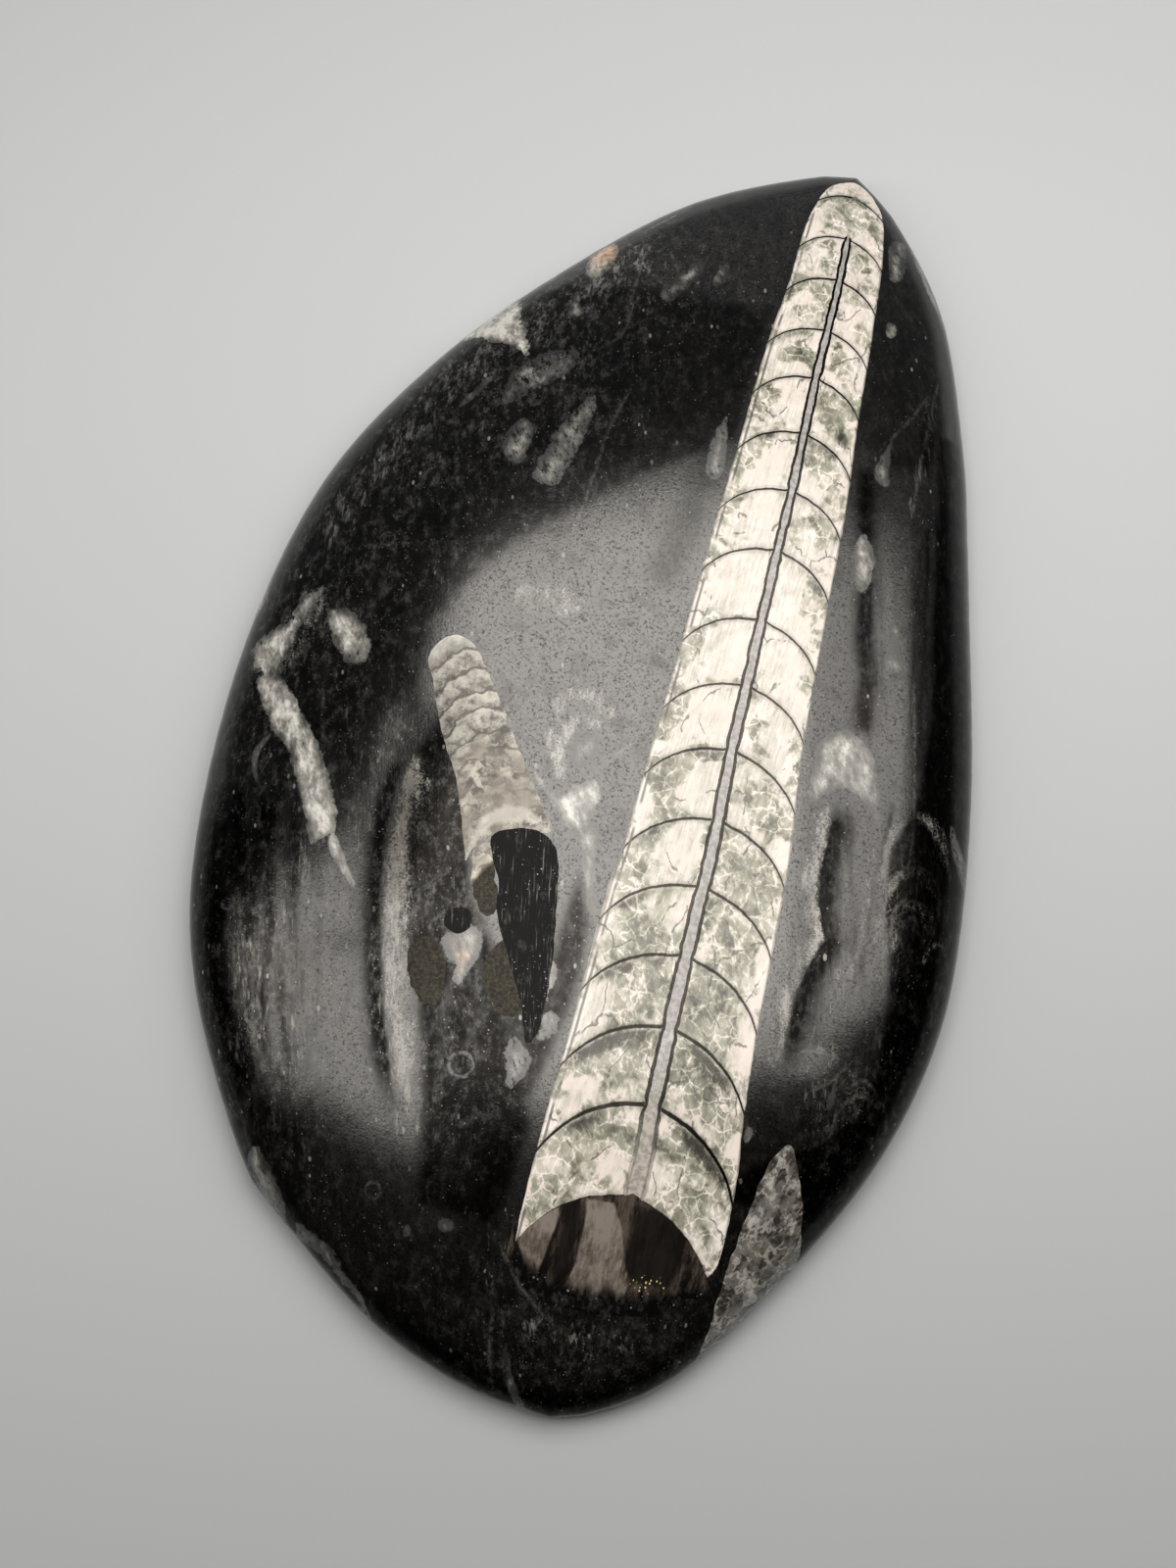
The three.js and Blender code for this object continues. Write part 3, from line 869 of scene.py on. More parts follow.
arc_lines = n.fade(n.maths("PINGPONG", arcs, 0.5), 0.03, 0.12, 1.0, 0.0)
arc_mask = n.product(arc_lines, n.fade(down, 15.0, 17.0, 1.0, 0.35))
colour = n.mix(n.product(arc_mask, 0.8), colour, BROWN_DEEP)
tip_cap = n.fade(n.total(down, n.swing(curd, 5.0)), -0.6, 1.6, 0.25, 0.0)
colour = n.mix(tip_cap, colour, SHELL_WHITE)
lip_share = n.total(n.field("small_lip"), n.swing(curd, 1.4))
colour = n.mix(n.fade(lip_share, 0.0, 0.8, 0.0, 0.6), colour, TIP_PALE)
lobe_grain = n.clouds(place, 0.45, detail=4.0, roughness=0.75)
lobe_share = n.total(n.product(lobe_grain, 1.3), n.product(curd, 0.5))
lobe_tone = n.mix(n.fade(lobe_share, 0.70, 1.20), LOBE_DARK, LOBE_OLIVE)
colour = n.mix(n.fade(down, 28.6, 29.6), colour, lobe_tone)
n.join(colour, shader["Base Color"])
n.join(n.fade(down, 27.5, 29.5, 0.35, 0.85), shader["Metallic"])
n.join(n.maths("MULTIPLY_ADD", curd, 0.14, 0.16), shader["Roughness"])
polish(n, shader, place, pit=0.35, rub=0.4, strength=0.14, depth=0.10)
shader["IOR"].default_value = 1.6
shader["Specular IOR Level"].default_value = 0.30

JET = (0.0016, 0.0015, 0.0015)
JET_HAIR = (0.055, 0.054, 0.052)

jet_fill, n, shader = new_material("jet_fill")
place = n.millimetres()
hairs = n.clouds(n.lying(place, 12, 30), 0.22, roughness=0.7)
hair_zone = n.clouds(place, 4.5)
colour = n.mix(n.product(n.fade(hairs, 0.57, 0.74), n.fade(hair_zone, 0.36, 0.56)), JET, JET_HAIR)
jet_smudge = n.clouds(n.lying(place, 12, 2.0), 1.2, detail=5.0, roughness=0.7)
colour = n.mix(n.fade(jet_smudge, 0.55, 0.80, 0.0, 0.7), colour, MUD_GREY)
jet_dust = dusting_of(n, place, 0.36, 0.30)
colour = n.mix(n.product(jet_dust, n.fade(hair_zone, 0.40, 0.62), 0.6), colour, DUST)
n.join(colour, shader["Base Color"])
shader["Metallic"].default_value = 0.88
n.join(n.maths("MULTIPLY_ADD", hair_zone, 0.08, 0.10), shader["Roughness"])
polish(n, shader, place, pit=0.4, rub=1.0, strength=0.05, depth=0.08)
shader["IOR"].default_value = 1.5
shader["Specular IOR Level"].default_value = 0.3


# The crystal leaf and the arched shell at the right.
# Two shells cut at a slant: a leaf of coarse grey-brown crystals that runs over the rim, and a
# pale arch, which shows in the limestone together with the fragments of the next section.

LEAF = [(34.9, -51.5), (36.3, -53.2), (38.0, -57.0), (39.0, -60.7), (39.6, -65), (39.0, -69), (36.5, -74),
        (33.5, -79), (29.8, -80.5), (30.4, -76.8), (30.6, -72), (30.8, -68.8), (31.7, -62.4), (32.5, -56.7),
        (33.4, -53.6)]
ARCH = [(27.7, -8.7), (27.3, -5), (27.5, -0.8), (29.4, 1.6), (32.1, 1.8), (34.9, -0.9), (36.3, -5),
        (37.1, -8.7), (35.5, -7.4), (33, -5.9), (30.6, -6.5), (28.9, -8)]

inlay(curve(LEAF), 0.25, 1.3, "crystal_leaf")

LEAF_PALE = (0.36, 0.35, 0.32)
LEAF_GREY = (0.115, 0.11, 0.10)
LEAF_DEEP = (0.028, 0.024, 0.021)
LEAF_RUST = (0.12, 0.085, 0.06)

crystal_leaf, n, shader = new_material("crystal_leaf")
place = n.millimetres()
blades = crystals_of(n, n.lying(place, -20, 1.7), 1.15, 0.15)
crumbs = crystals_of(n, place, 0.6, 0.12)["Tone"]
leaf_veil = n.clouds(place, 2.2, detail=5.0, roughness=0.7)
leaf_veil = n.maths("MULTIPLY_ADD", leaf_veil, 1.5, -0.58)
tone = n.total(n.product(blades["Tone"], 0.40), n.product(crumbs, 0.25), leaf_veil)
colour = n.mix(n.fade(tone, 0.25, 0.60), LEAF_DEEP, LEAF_GREY)
colour = n.mix(n.fade(tone, 0.62, 0.92), colour, LEAF_PALE)
colour = n.mix(n.product(n.fade(n.clouds(place, 3.0), 0.56, 0.68), 0.35), colour, LEAF_RUST)
colour = n.mix(n.product(blades["Seams"], n.fade(n.clouds(place, 1.5), 0.45, 0.6), 0.65), colour, LEAF_PALE)
n.join(colour, shader["Base Color"])
n.join(n.maths("MULTIPLY_ADD", crumbs, 0.15, 0.15), shader["Roughness"])
polish(n, shader, place, pit=0.3, rub=0.2, strength=0.15, depth=0.10, relief=tone)
shader["IOR"].default_value = 1.6
shader["Specular IOR Level"].default_value = 0.55


# Shell fragments.
# Broken shells, crinoid rings, veins, streaks and grit that lie in the limestone all over the
# face, and painted shade in the reflection between them. They are fields that the black limestone reads.

# Each fragment: its outline, how white it is and how torn its edge

FRAGMENTS = [
    # left, a long white blade with its shoulder and tail
    ([(-47.4, -7.8), (-44, -7.4), (-40.9, -10.2), (-38.6, -12.8), (-36.2, -15.5), (-34.2, -18.3),
      (-31.2, -23.5), (-30.2, -27), (-31.5, -28.2), (-32.8, -29.3), (-34.3, -26.8), (-35.7, -24.4),
      (-39.5, -17.7), (-41.9, -15.9), (-46, -10.8)], 0.62, 1.5),
    ([(-31, -27), (-29.8, -27.6), (-27.6, -30.6), (-25.5, -33.7), (-27.8, -32.2), (-30.4, -29.4)], 0.8, 0.6),
    ([(-43.2, -15.8), (-42.4, -16), (-43.4, -18.4), (-43, -20.8), (-42.2, -22.9), (-43.9, -21),
      (-44.6, -18.2)],
     0.4, 0.9),
    ([(-49.6, -4), (-48.4, -1.9), (-45.6, 0.1), (-44.8, 2.8), (-43, 5.2), (-41.4, 6), (-42.2, 1.8),
      (-43.4, -1.2), (-43.6, -4.1), (-44, -7.6), (-47.4, -7.8)], 0.50, 5.6),
    ([(-40.1, 2.4), (-37.1, 2.9), (-34.9, 1.4), (-32.9, -1), (-32.4, -3.2), (-33.8, -4.9), (-35.7, -4.2),
      (-37.8, -2.1)], 0.45, 2.4),
    ([(-51.4, 7.5), (-50.2, 7), (-50.2, 3), (-51.2, 1.4), (-52, 4)], 0.7, 0.6),
    # upper left, at the rim and below it
    ([(-32.4, 60.5), (-30, 59.5), (-28, 57.3), (-25.9, 51.8), (-23.4, 45.6), (-26.7, 47.1), (-30.2, 48.2),
      (-33, 48.7), (-36.4, 49.4), (-37.5, 52.5), (-34.5, 57)], 0.75, 3.4),
    ([(-19.2, 69.0), (-17, 69.6), (-15.6, 66.6), (-16.2, 63), (-17.6, 61), (-19.4, 61.8),
      (-19.9, 65)], 0.75, 1.2),
    ([(-14.6, 69.2), (-11, 73.2), (-7.6, 76.9), (-8.8, 76.2), (-12.4, 72.6)], 0.5, 1.0),
    ([(-19.6, 56.4), (-17.6, 54.2), (-19.9, 53)], 0.3, 0.8),
    ([(-25.3, 37.6), (-25.2, 41.6), (-23.9, 44.1), (-21.4, 46.5), (-19.1, 47.4), (-16.4, 47.4), (-16.5, 44.6),
      (-18.2, 42.2), (-21.1, 39.9), (-24, 37.4)], 0.02, 2.2),
    ([(-30.9, 36.2), (-30, 36.2), (-27.3, 41), (-28.2, 41.2)], 0.25, 1.2),
    ([(-21.9, 35), (-19.6, 34.1), (-19.4, 30.3), (-20.5, 27.8), (-23.3, 30.5)], 0.10, 1.4),
    ([(-13.2, 40.6), (-12.0, 38.4), (-12.8, 32.4), (-14.1, 26.5), (-15.2, 25.6), (-18.0, 26.9), (-17.3, 30.7),
      (-16.3, 34.8)], 0.08, 1.8),
    ([(-7.9, 59.1), (-6.5, 62.3), (-4.4, 65.7), (-2.7, 67.3), (-3.0, 63.6), (-4.4, 60.5),
      (-6.4, 57.7)], 0.02, 1.2),
    ([(-1.3, 63.1), (0.1, 66.8), (0.8, 64), (-0.5, 61.7)], 0.35, 0.6),
    ([(5.6, 41.6), (6.9, 32.8), (4.8, 32.2), (4.3, 36.7)], 0.15, 1.0),
    # right, beside the large shell and out to the rim
    ([(21.8, 77.6), (24.1, 79.3), (24.9, 72.5), (23.0, 70.8)], 0.25, 1.0),
    ([(23.8, 63.4), (25.4, 63.2), (25.4, 61.2), (24.2, 60.8)], 0.5, 0.7),
    ([(25.1, 79.4), (26.6, 78.2), (30, 72.6), (33, 67.4), (31, 69), (27.6, 74)], 0.6, 1.6),
    ([(28.1, 44.9), (26.5, 39.1), (29, 37.6), (28.6, 41)], 0.2, 1.2),
    ([(26.9, 29.9), (28.8, 28.3), (29.7, 23.9), (28.7, 21.6), (26.9, 22.8), (26.2, 26.9)], 0.35, 2.4),
    ([(33.3, 19.9), (35.2, 15.7), (36.3, 12.6), (33.8, 11.7), (33.5, 15.9)], 0.3, 0.8),
    (ARCH, 0.45, 1.7),
    ([(32.6, -0.4), (33.5, -0.2), (33.6, -1.4), (32.9, -1.6)], 0.95, 0.4),
    ([(29.2, -50.6), (30.2, -51), (30, -52.6), (29.2, -52.4)], 0.4, 0.8),
    ([(46.9, -5.4), (48.6, -7.2), (50.8, -10.2), (51.4, -13.4), (49.4, -11.4), (47.4, -8.2)], 0.15, 1.0),
    ([(38.4, -46.2), (38.6, -43.6), (38.8, -41.2), (39.3, -43), (39.2, -45.6)], 0.3, 0.8),
    # middle, round the smaller shell
    ([(-13.4, -37.6), (-11.2, -35.8), (-8.9, -34.8), (-7.9, -38.0), (-8.6, -40.0), (-9.7, -43.0),
      (-10.9, -40.4)], 0.38, 2.4),
    ([(-7.3, -13.5), (-5.2, -15.4), (-3.3, -15.8), (-1.4, -14.0), (0.4, -13.2), (1.8, -14.8), (1.4, -18.2),
      (0.4, -20.4), (-1.8, -19.2), (-5.4, -16.0)], 0.62, 2.0),
    ([(0.6, -20.2), (2.0, -18.6), (3.4, -24.2), (5.2, -31), (3.8, -29.2), (2.2, -25.6)], 0.55, 1.2),
    ([(0.0, -36.8), (1.7, -37.3), (1.9, -40), (0.9, -42.4), (-0.4, -40.4)], 0.7, 2.2),
    ([(1.9, -43.5), (3.7, -43.6), (3.4, -46.0), (1.5, -46.8)], 0.45, 2.6),
    ([(-1.5, -47.3), (1.3, -49), (1.4, -51.2), (-0.4, -53.9), (-1.8, -50)], 0.16, 2.4),
    ([(-2.8, -11.8), (-3.4, -9.4), (-2.2, -7.4), (-0.4, -7.2), (0.2, -9.2), (-0.8, -11.6)], 0.0, 1.6),
    # foot and lower left
    ([(-30.1, -67.2), (-28.2, -68.6), (-26.2, -70.8), (-24.4, -74), (-24.2, -76.4), (-27.2, -75),
      (-29.6, -71.4), (-31, -69.2)], 0.3, 1.8),
    ([(-22.4, -75.2), (-17.8, -76.8), (-15.1, -79.5), (-13.1, -80.8), (-10.6, -84), (-13.8, -81.6),
      (-17, -79.2), (-20, -77.4), (-22.2, -76.8)], 0.3, 2.2),
    ([(-5, -70.6), (-3.2, -70.3), (-2.8, -71.6), (-4.4, -72)], 0.15, 0.8),
    ([(-8.9, -72.3), (-7.9, -72.3), (-7.9, -73.7), (-8.8, -73.5)], 0.3, 0.6),
    ([(6.4, -83.2), (7.2, -83.4), (8.9, -87), (11, -90), (9.6, -90), (7.6, -87)], 0.1, 0.8),
]
# Crinoid rings: centre, radius and width of the band
RINGS = [((-6.8, -52.1), 1.5, 0.5), ((-34.8, 13.8), 1.0, 0.5), ((27.8, 39.2), 0.8, 0.5),
         ((-42.1, -38.7), 0.7, 0.4), ((-31.6, -42.7), 0.6, 0.35), ((-30.7, -55.3), 0.6, 0.35),
         ((-34.6, -51.7), 1.1, 0.4), ((-13.7, -69.2), 1.0, 0.4)]
FRAGMENT_REACH = 3.0  # how far from a fragment it is still felt
RING_WHITE = 0.2
RING_TEAR = 0.5


def fragment_fields(x, y):
    """How far inside the nearest fragment each point lies, and how white and torn that one is."""
    shell, white, tear = (np.full(len(x), start) for start in (-FRAGMENT_REACH, 0.3, 1.0))
    for outline, whiteness, torn in FRAGMENTS:
        outline = curve(outline, step=0.8)
        low, high = outline.min(0) - FRAGMENT_REACH, outline.max(0) + FRAGMENT_REACH
        near = (x > low[0]) & (x < high[0]) & (y > low[1]) & (y < high[1])
        if not near.any():
            continue
        inside = inside_by(x[near], y[near], outline)
        closer = inside > shell[near]
        picked = np.flatnonzero(near)[closer]
        shell[picked], white[picked], tear[picked] = inside[closer], whiteness, torn
    for (cx, cy), radius, width in RINGS:
        inside = width / 2 - np.abs(np.hypot(x - cx, y - cy) - radius)
        closer = inside > shell
        shell[closer], white[closer], tear[closer] = inside[closer], RING_WHITE, RING_TEAR
    return shell, white, tear


# Fine pale veins, as lines on the plan
VEINS = [
    [(-11.8, 65.5), (-11.7, 59.5), (-11.6, 56.4), (-11.1, 53.5), (-11.9, 50.4), (-14.7, 47.9)],
    [(-8.3, 42.2), (-9.6, 35.5), (-9.9, 27.8), (-10.5, 20.5)],
    [(32.9, 57.4), (32.7, 50), (32.7, 43.4), (33, 35.9)],
    [(31.5, 53.2), (29.6, 48.2), (27.2, 43.7)],
    [(38, 11), (39.8, 3), (41.9, -8.2), (42.3, -13.9)],
    [(-37.2, -8.4), (-36.2, -12.6), (-34.9, -16.1)],
    [(33.9, -40.1), (35.9, -39.4), (37.9, -39.5)],
    [(36.9, -43.8), (38.4, -42.4), (39.9, -40.3)],
    [(4.4, -80.5), (4.9, -84), (6.2, -88)],
    [(3.9, -72.6), (6.4, -75.6), (9.9, -78.3)],
    [(3.6, -7.6), (1.8, -10), (0, -12.3)],
    [(41.3, -25), (40.3, -20.7), (40.3, -16.9), (41.7, -14), (44.3, -12.7), (46.8, -14.5), (47.6, -18),
     (46.9, -22.4)],
    [(42.2, -24), (41.5, -20.4), (42.2, -18.2), (44.4, -17.2), (46.6, -18.4), (46.2, -22.6), (44, -24)],
    [(40.1, -17.7), (39, -13.4), (39.3, -10.1), (41.4, -6.9), (43.7, -6), (46.3, -8.2), (48.2, -12.4)],
    [(43.2, -22.4), (43.2, -20.4), (44.4, -19.4), (45.2, -21)],
    [(39.8, -48.4), (40.2, -45.3), (42.4, -43.2), (45, -43.9)],
    [(40.7, -42.7), (42.7, -41.3), (45.8, -43.6), (46.9, -46.1)],
]
VEIN_REACH = 1.2


def vein_fields(x, y):
    """Signed distance from the nearest vein, and a strength that stops just beyond it."""
    nearest, signed = np.full(len(x), 9.0), np.full(len(x), 9.0)
    for points in VEINS:
        line = curve(points, closed=False, step=1.0)
        for (ax, ay), (bx, by) in zip(line, line[1:]):
            away = from_line(x, y, (ax, ay), (bx, by))
            side = np.sign((bx - ax) * (y - ay) - (by - ay) * (x - ax))
            closer = away < nearest
            nearest[closer], signed[closer] = away[closer], (side * away)[closer]
    strength = np.clip((VEIN_REACH + 0.3 - nearest) / 0.4, 0, 1) * np.clip(VEIN_REACH + 0.9 - nearest, 0, 1)
    return signed, strength


# Soft bands of fine shell streaks: a line on the plan, its half width and its strength
STREAKS = [
    ([(-21.4, -30), (-17.2, -46), (-11.6, -61)], 2.6, 0.7),
    ([(-34, -12), (-28.6, -21.3), (-25.6, -28)], 2.0, 0.5),
    ([(-33, -30), (-36, -44), (-36, -56)], 5.0, 0.55),
    ([(-44, -20), (-44, -34)], 4.0, 0.35),
    ([(-28, -52), (-27.5, -64)], 3.0, 0.5),
    ([(-44, 14), (-33, 42), (-24, 52), (-12, 66)], 4.5, 0.75),
    ([(-12, 40), (-13, 26)], 3.0, 0.25),
    ([(37, -28), (36, -44)], 2.8, 0.5),
    ([(33, 56), (33, 36)], 1.8, 0.6),
    ([(6, -66), (2, -80)], 5.0, 0.35),
    ([(10, -80), (20, -80)], 3.0, 0.6),
    ([(43, -12), (44, -24)], 4.0, 0.5),
    ([(42, -42), (40, -50)], 3.5, 0.5),
]


def banded(bands):
    """A field that sums soft bands, each along a line on the plan."""
    def value(x, y):
        out = np.zeros(len(x))
        for points, half, strength in bands:
            away = np.full(len(x), FAR_AWAY)
            for start, end in zip(points, points[1:]):
                away = np.minimum(away, from_line(x, y, start, end))
            out += strength * np.exp(-((away / half) ** 2))
        return out
    return value


# Bands of coarse bright grit, straight or as arcs, where a shell lies flat just under the polish
GRIT = [
    ([(-14, 9), (-9, 10)], 2.2, 0.6),
    ([(-46, -6), (-42.6, 3)], 3.0, 0.5),
    ([(-38, -2), (-34, 3)], 3.4, 0.25),
    ([(-20.4, -36), (-17.4, -42)], 1.6, 0.45),
    ([(-10, -14), (-5, -20)], 2.0, 0.25),
    ([(-5.3, -10.9), (-6.7, -7.2), (-6.2, -3.6), (-4.4, -2.0), (-1.7, -2.0), (0.4, -4.0)], 1.0, 0.66),
    ([(-3.9, -13.3), (-5.0, -9.5), (-4.4, -6.6), (-3.1, -5.3), (-1.2, -5.9)], 0.8, 0.60),
    ([(39.3, -17), (38.9, -13.4), (39.5, -8.6), (41.6, -6.2), (44.8, -6.6), (47, -10.6)], 0.7, 0.55),
    ([(40.2, -24), (40.0, -18.6), (41.2, -14.8), (44, -13.4), (46.8, -15.6)], 0.6, 0.52),
    ([(42.6, -24.2), (41.8, -20.8), (42.7, -18.4), (45, -17.6), (46.2, -20)], 0.55, 0.56),
    ([(46.9, -24.4), (47.3, -22), (48.8, -21.2), (50.0, -22.4)], 0.4, 0.6),
    ([(37.2, -16), (38.4, -24), (37.6, -30)], 0.7, 0.35),
    ([(27.4, 26), (28.2, 22.6)], 1.2, 0.6),
    ([(43.0, -6.2), (45.0, -6.6), (46.6, -8.8)], 0.9, 0.4),
]

# Painted shade in the reflection, over the ground round the lamp's haze, as outlines with how far
# their edge fades and a strength, and for one of them the two heights between which it comes in
SHADED_REFLECTION_GROUND = [
    ([(8, 38), (-4, 29), (-14, 20), (-18.2, 15.5), (-22.8, 8.6), (-25, 2.2), (-24.8, -2.7), (-22.9, -10.4),
      (-22.9, -16.8), (-23.6, -22.5), (-24, -27.2), (-24.4, -36), (-24, -50), (-60, -50), (-60, 40),
      (-30, 60), (8, 60)], 3.4, 0.76, (-44, -12)),
    ([(-35.5, -20), (-32.5, -40), (-28.5, -54), (-24, -66), (-60, -66), (-60, -20)], 22.0, 0.95),
    ([(1.5, -25), (4.6, -31.5), (5.0, -40), (3.4, -50), (2, -57), (-4, -58), (-3, -45),
      (0.6, -36)], 2.6, 0.85),
    ([(-23, -14), (-19.6, -6), (-15.5, -14), (-12.6, -21), (-12.4, -26), (-10.6, -31.1), (-5.9, -37.5),
      (-1.6, -45.4), (3.6, -57.1), (2.5, -70), (-8, -70), (-11.7, -53.6), (-15, -44.1), (-19.1, -36.1),
      (-20.7, -28.9)], 3.0, 0.98),
    ([(34, 49), (36.5, 36.9), (37.1, 31.7), (39.1, 19.2), (41.3, 7.1), (41.6, -3.6), (39.6, -11.6),
      (39.7, -17.9), (42, -24.8), (43.3, -31.9), (43.9, -39.1), (42.8, -45.6), (38.4, -50.6), (31.7, -54),
      (28, -60), (60, -60), (60, 55)], 1.4, 0.95),
    ([(22.6, 46), (26, 40), (33, 41), (36, 48), (36, 95), (18, 95), (21, 66)], 3.0, 0.6),
]
# Bands of painted shade in the reflection: a line, its half width and its strength
SHADED_REFLECTION_BANDS = [([(25.8, 38), (27.2, 30.9), (29.0, 22.8), (30.1, 15.5), (31.8, 9.3), (32.4, 3.6)], 1.9, 1.00),
               ([(34.4, 34), (36.6, 20), (38.2, 8), (39.4, -4)], 0.42, 0.45),
               ([(35.6, 34), (37.9, 20), (39.6, 8), (40.6, 0)], 0.30, 0.50),
               ([(6.0, 42), (4.6, 30), (2.6, 17)], 3.4, 0.50),
               ([(38.6, -6), (38.2, -18), (39.2, -28)], 0.5, 0.45)]
# Steps in the polish, each as (height, place across) pairs from the top down: a line of grit with
# a dark groove beside it, drawn as painted shade in the reflection
STEP_RIGHT = [(-7, 30.4), (-12, 30.4), (-17, 30.3), (-21.5, 31), (-25.7, 32.7), (-29.6, 31.4), (-33.4, 30.8),
              (-38.6, 30.9), (-46, 30.6)]
STEP_LEFT = [(-14, -23.9), (-22, -23.9), (-28.4, -23.2), (-34.5, -21.9), (-40.5, -20.2), (-48.6, -17.6),
             (-55.3, -14.8), (-61.9, -11.6)]
STEP_STARTS = 4.0  # how far a step takes to come in at its top
STEP_ENDS = 8.0  # and to go out at its foot


def step(line, offset, left, right, strength):
    """A band beside a line of the plan that fades by different distances to its two sides."""
    def value(x, y):
        aside = x - at_height(line, y) - offset
        top_end, foot_end = line[0][0] - y, y - line[-1][0]
        ends = np.clip(top_end / STEP_STARTS, 0, 1) * np.clip(foot_end / STEP_ENDS, 0, 1)
        return strength * ends * np.exp(-((aside / np.where(aside > 0, right, left)) ** 2))
    return value


# The first pair is painted shade in the reflection beside each step, and the second is the grit along it
GROOVE_SHADES = [step(STEP_RIGHT, 1.3, 0.9, 2.5, 1.15), step(STEP_LEFT, -0.6, 2.4, 0.6, 1.15)]
GRIT_STEPS = [step(STEP_RIGHT, 0.2, 1.5, 0.5, 0.90), step(STEP_LEFT, 0.9, 0.5, 2.6, 0.95)]
RIM_REFLECTION_SHADE = (0.93, 0.985)  # painted shade in the reflection near the rim, as a share of the way out


def reflection_shade_field(x, y):
    """How much painted shade takes away the lamp's reflection: over its ground, its bands, the grooves and
    the rim.
    """
    out = banded(SHADED_REFLECTION_BANDS)(x, y)
    for groove in GROOVE_SHADES:
        out = np.maximum(out, groove(x, y))
    for outline, soft, strength, *lift in SHADED_REFLECTION_GROUND:
        share = np.clip(inside_by(x, y, outline) / soft + 0.5, 0, 1)
        if lift:
            share = share * np.interp(y, lift[0], (0, 1))
        out = np.maximum(out, strength * share**2 * (3 - 2 * share))
    dx, dy = x - MIDDLE[0], y - MIDDLE[1]
    share = np.hypot(dx, dy) / reach(np.arctan2(dy, dx))
    return np.maximum(out, np.interp(share, RIM_REFLECTION_SHADE, (0, 1)))


fields["dense"] = reflection_shade_field
fields["grit"] = lambda x, y: np.maximum.reduce([banded(GRIT)(x, y), *(line(x, y) for line in GRIT_STEPS)])
fields["lined"] = banded([([(-38, -30), (-32, -62)], 9, 0.36), ([(34, 45), (36, 0), (38, -45)], 5, 0.30)])
fields["rust"] = banded([([(-17.4, 68), (-17.4, 66)], 2.4, 1.2), ([(-10.6, -38.6), (-9.4, -40)], 1.4, 0.9)])
fields["streak"] = banded(STREAKS)
fields["dust"] = lambda x, y: 0.42 + 0.9 * banded([
    ([(-42, 0), (-30, 36), (-16, 60)], 15, 1.05), ([(-20, -24), (-10, -54)], 8, 0.35),
    ([(-38, -20), (-32, -60)], 12, 0.8), ([(-34, 44), (-14, 68)], 8, 0.6), ([(10, -84), (24, -80)], 9, 0.6),
    ([(-18, 44), (-12, 26)], 8, 0.5), ([(44, -30), (40, -50)], 7, 0.6),
])(x, y)
fields["stain"] = lambda x, y: 0.35 + banded([
    ([(-9, -30), (-8, -46)], 6, 0.8), ([(-34, -30), (-32, -56)], 10, 0.5), ([(0, -4), (2, -16)], 5, 0.8),
])(x, y)


# The skin.
# The slab is one closed skin: the polished face, the narrow side below the widest line, and the
# sawn back. The face is laid out on a flat sheet that is opened up towards the rim, where it
# turns down, so that its points stay evenly spaced. The fossils' outlines are cut into it.

OPENING = 7.0
OPENING_POWER = 14
SIDE_SPAN = 3.4
POINT_GAP = 0.56
BACK_GAP = 2.4
SEAM_GAP = 0.30
EDGE_GAP = 0.5
BACK_MARGIN = 1.2
BACK_MAP_SHARE = 0.62  # the sawn back is drawn smaller on the map than the face
MAP_GAP = 0.01
SAME_POINT = 1e-6
ROUNDS = 40  # of working back from the sheet to the plan


def on_sheet(plan):
    """Moves points from the plan to the opened sheet. Past the widest line they go down the side."""
    offset = np.asarray(plan, float) - MIDDLE
    out = np.hypot(*offset.T)
    far = reach(np.arctan2(offset[:, 1], offset[:, 0]))
    opened = out + OPENING * np.minimum(out / far, 1) ** OPENING_POWER
    return offset / np.maximum(out, 1e-9)[:, None] * opened[:, None]


def off_sheet(sheet):
    """Each sheet point's direction, its distance out on the plan and how far down the side it is."""
    opened = np.hypot(*sheet.T)
    far = reach(np.arctan2(sheet[:, 1], sheet[:, 0]))
    out = np.minimum(opened, far)
    for _ in range(ROUNDS):
        rise = OPENING * (out / far) ** OPENING_POWER
        out = out - (out + rise - opened) / (1 + OPENING_POWER * rise / np.maximum(out, 1e-9))
        out = np.clip(out, 0, far)
    down = np.clip((opened - far - OPENING) / SIDE_SPAN, 0, 1)
    return sheet / np.maximum(opened, 1e-9)[:, None], out, down


def hex_points(low, high, gap):
    """Evenly spaced points over a rectangle, in staggered rows."""
    rows = np.arange(low[1], high[1], gap * math.sqrt(3) / 2)
    steps = np.arange(low[0], high[0], gap)
    grid = [np.stack([steps + gap / 2 * (i % 2), np.full(len(steps), row)], 1) for i, row in enumerate(rows)]
    return np.vstack(grid)


def turning(outline):
    """Positive for an outline that runs anticlockwise."""
    x, y = np.asarray(outline).T
    return np.sum(x * np.roll(y, -1) - np.roll(x, -1) * y)


def triangles(points, outlines):
    """Triangles over points and closed outlines, with the outlines that hold each triangle."""
    outlines = [o if turning(o) > 0 else o[::-1] for o in outlines]
    verts = [Vector(p) for p in np.vstack([*outlines, points])]
    starts = np.cumsum([0] + [len(o) for o in outlines])
    loops = [list(range(a, b)) for a, b in zip(starts, starts[1:])]
    made = delaunay_2d_cdt(verts, [], loops, 0, SAME_POINT, True)
    return np.array([tuple(v) for v in made[0]]), np.array(made[2]), made[5], made[3]


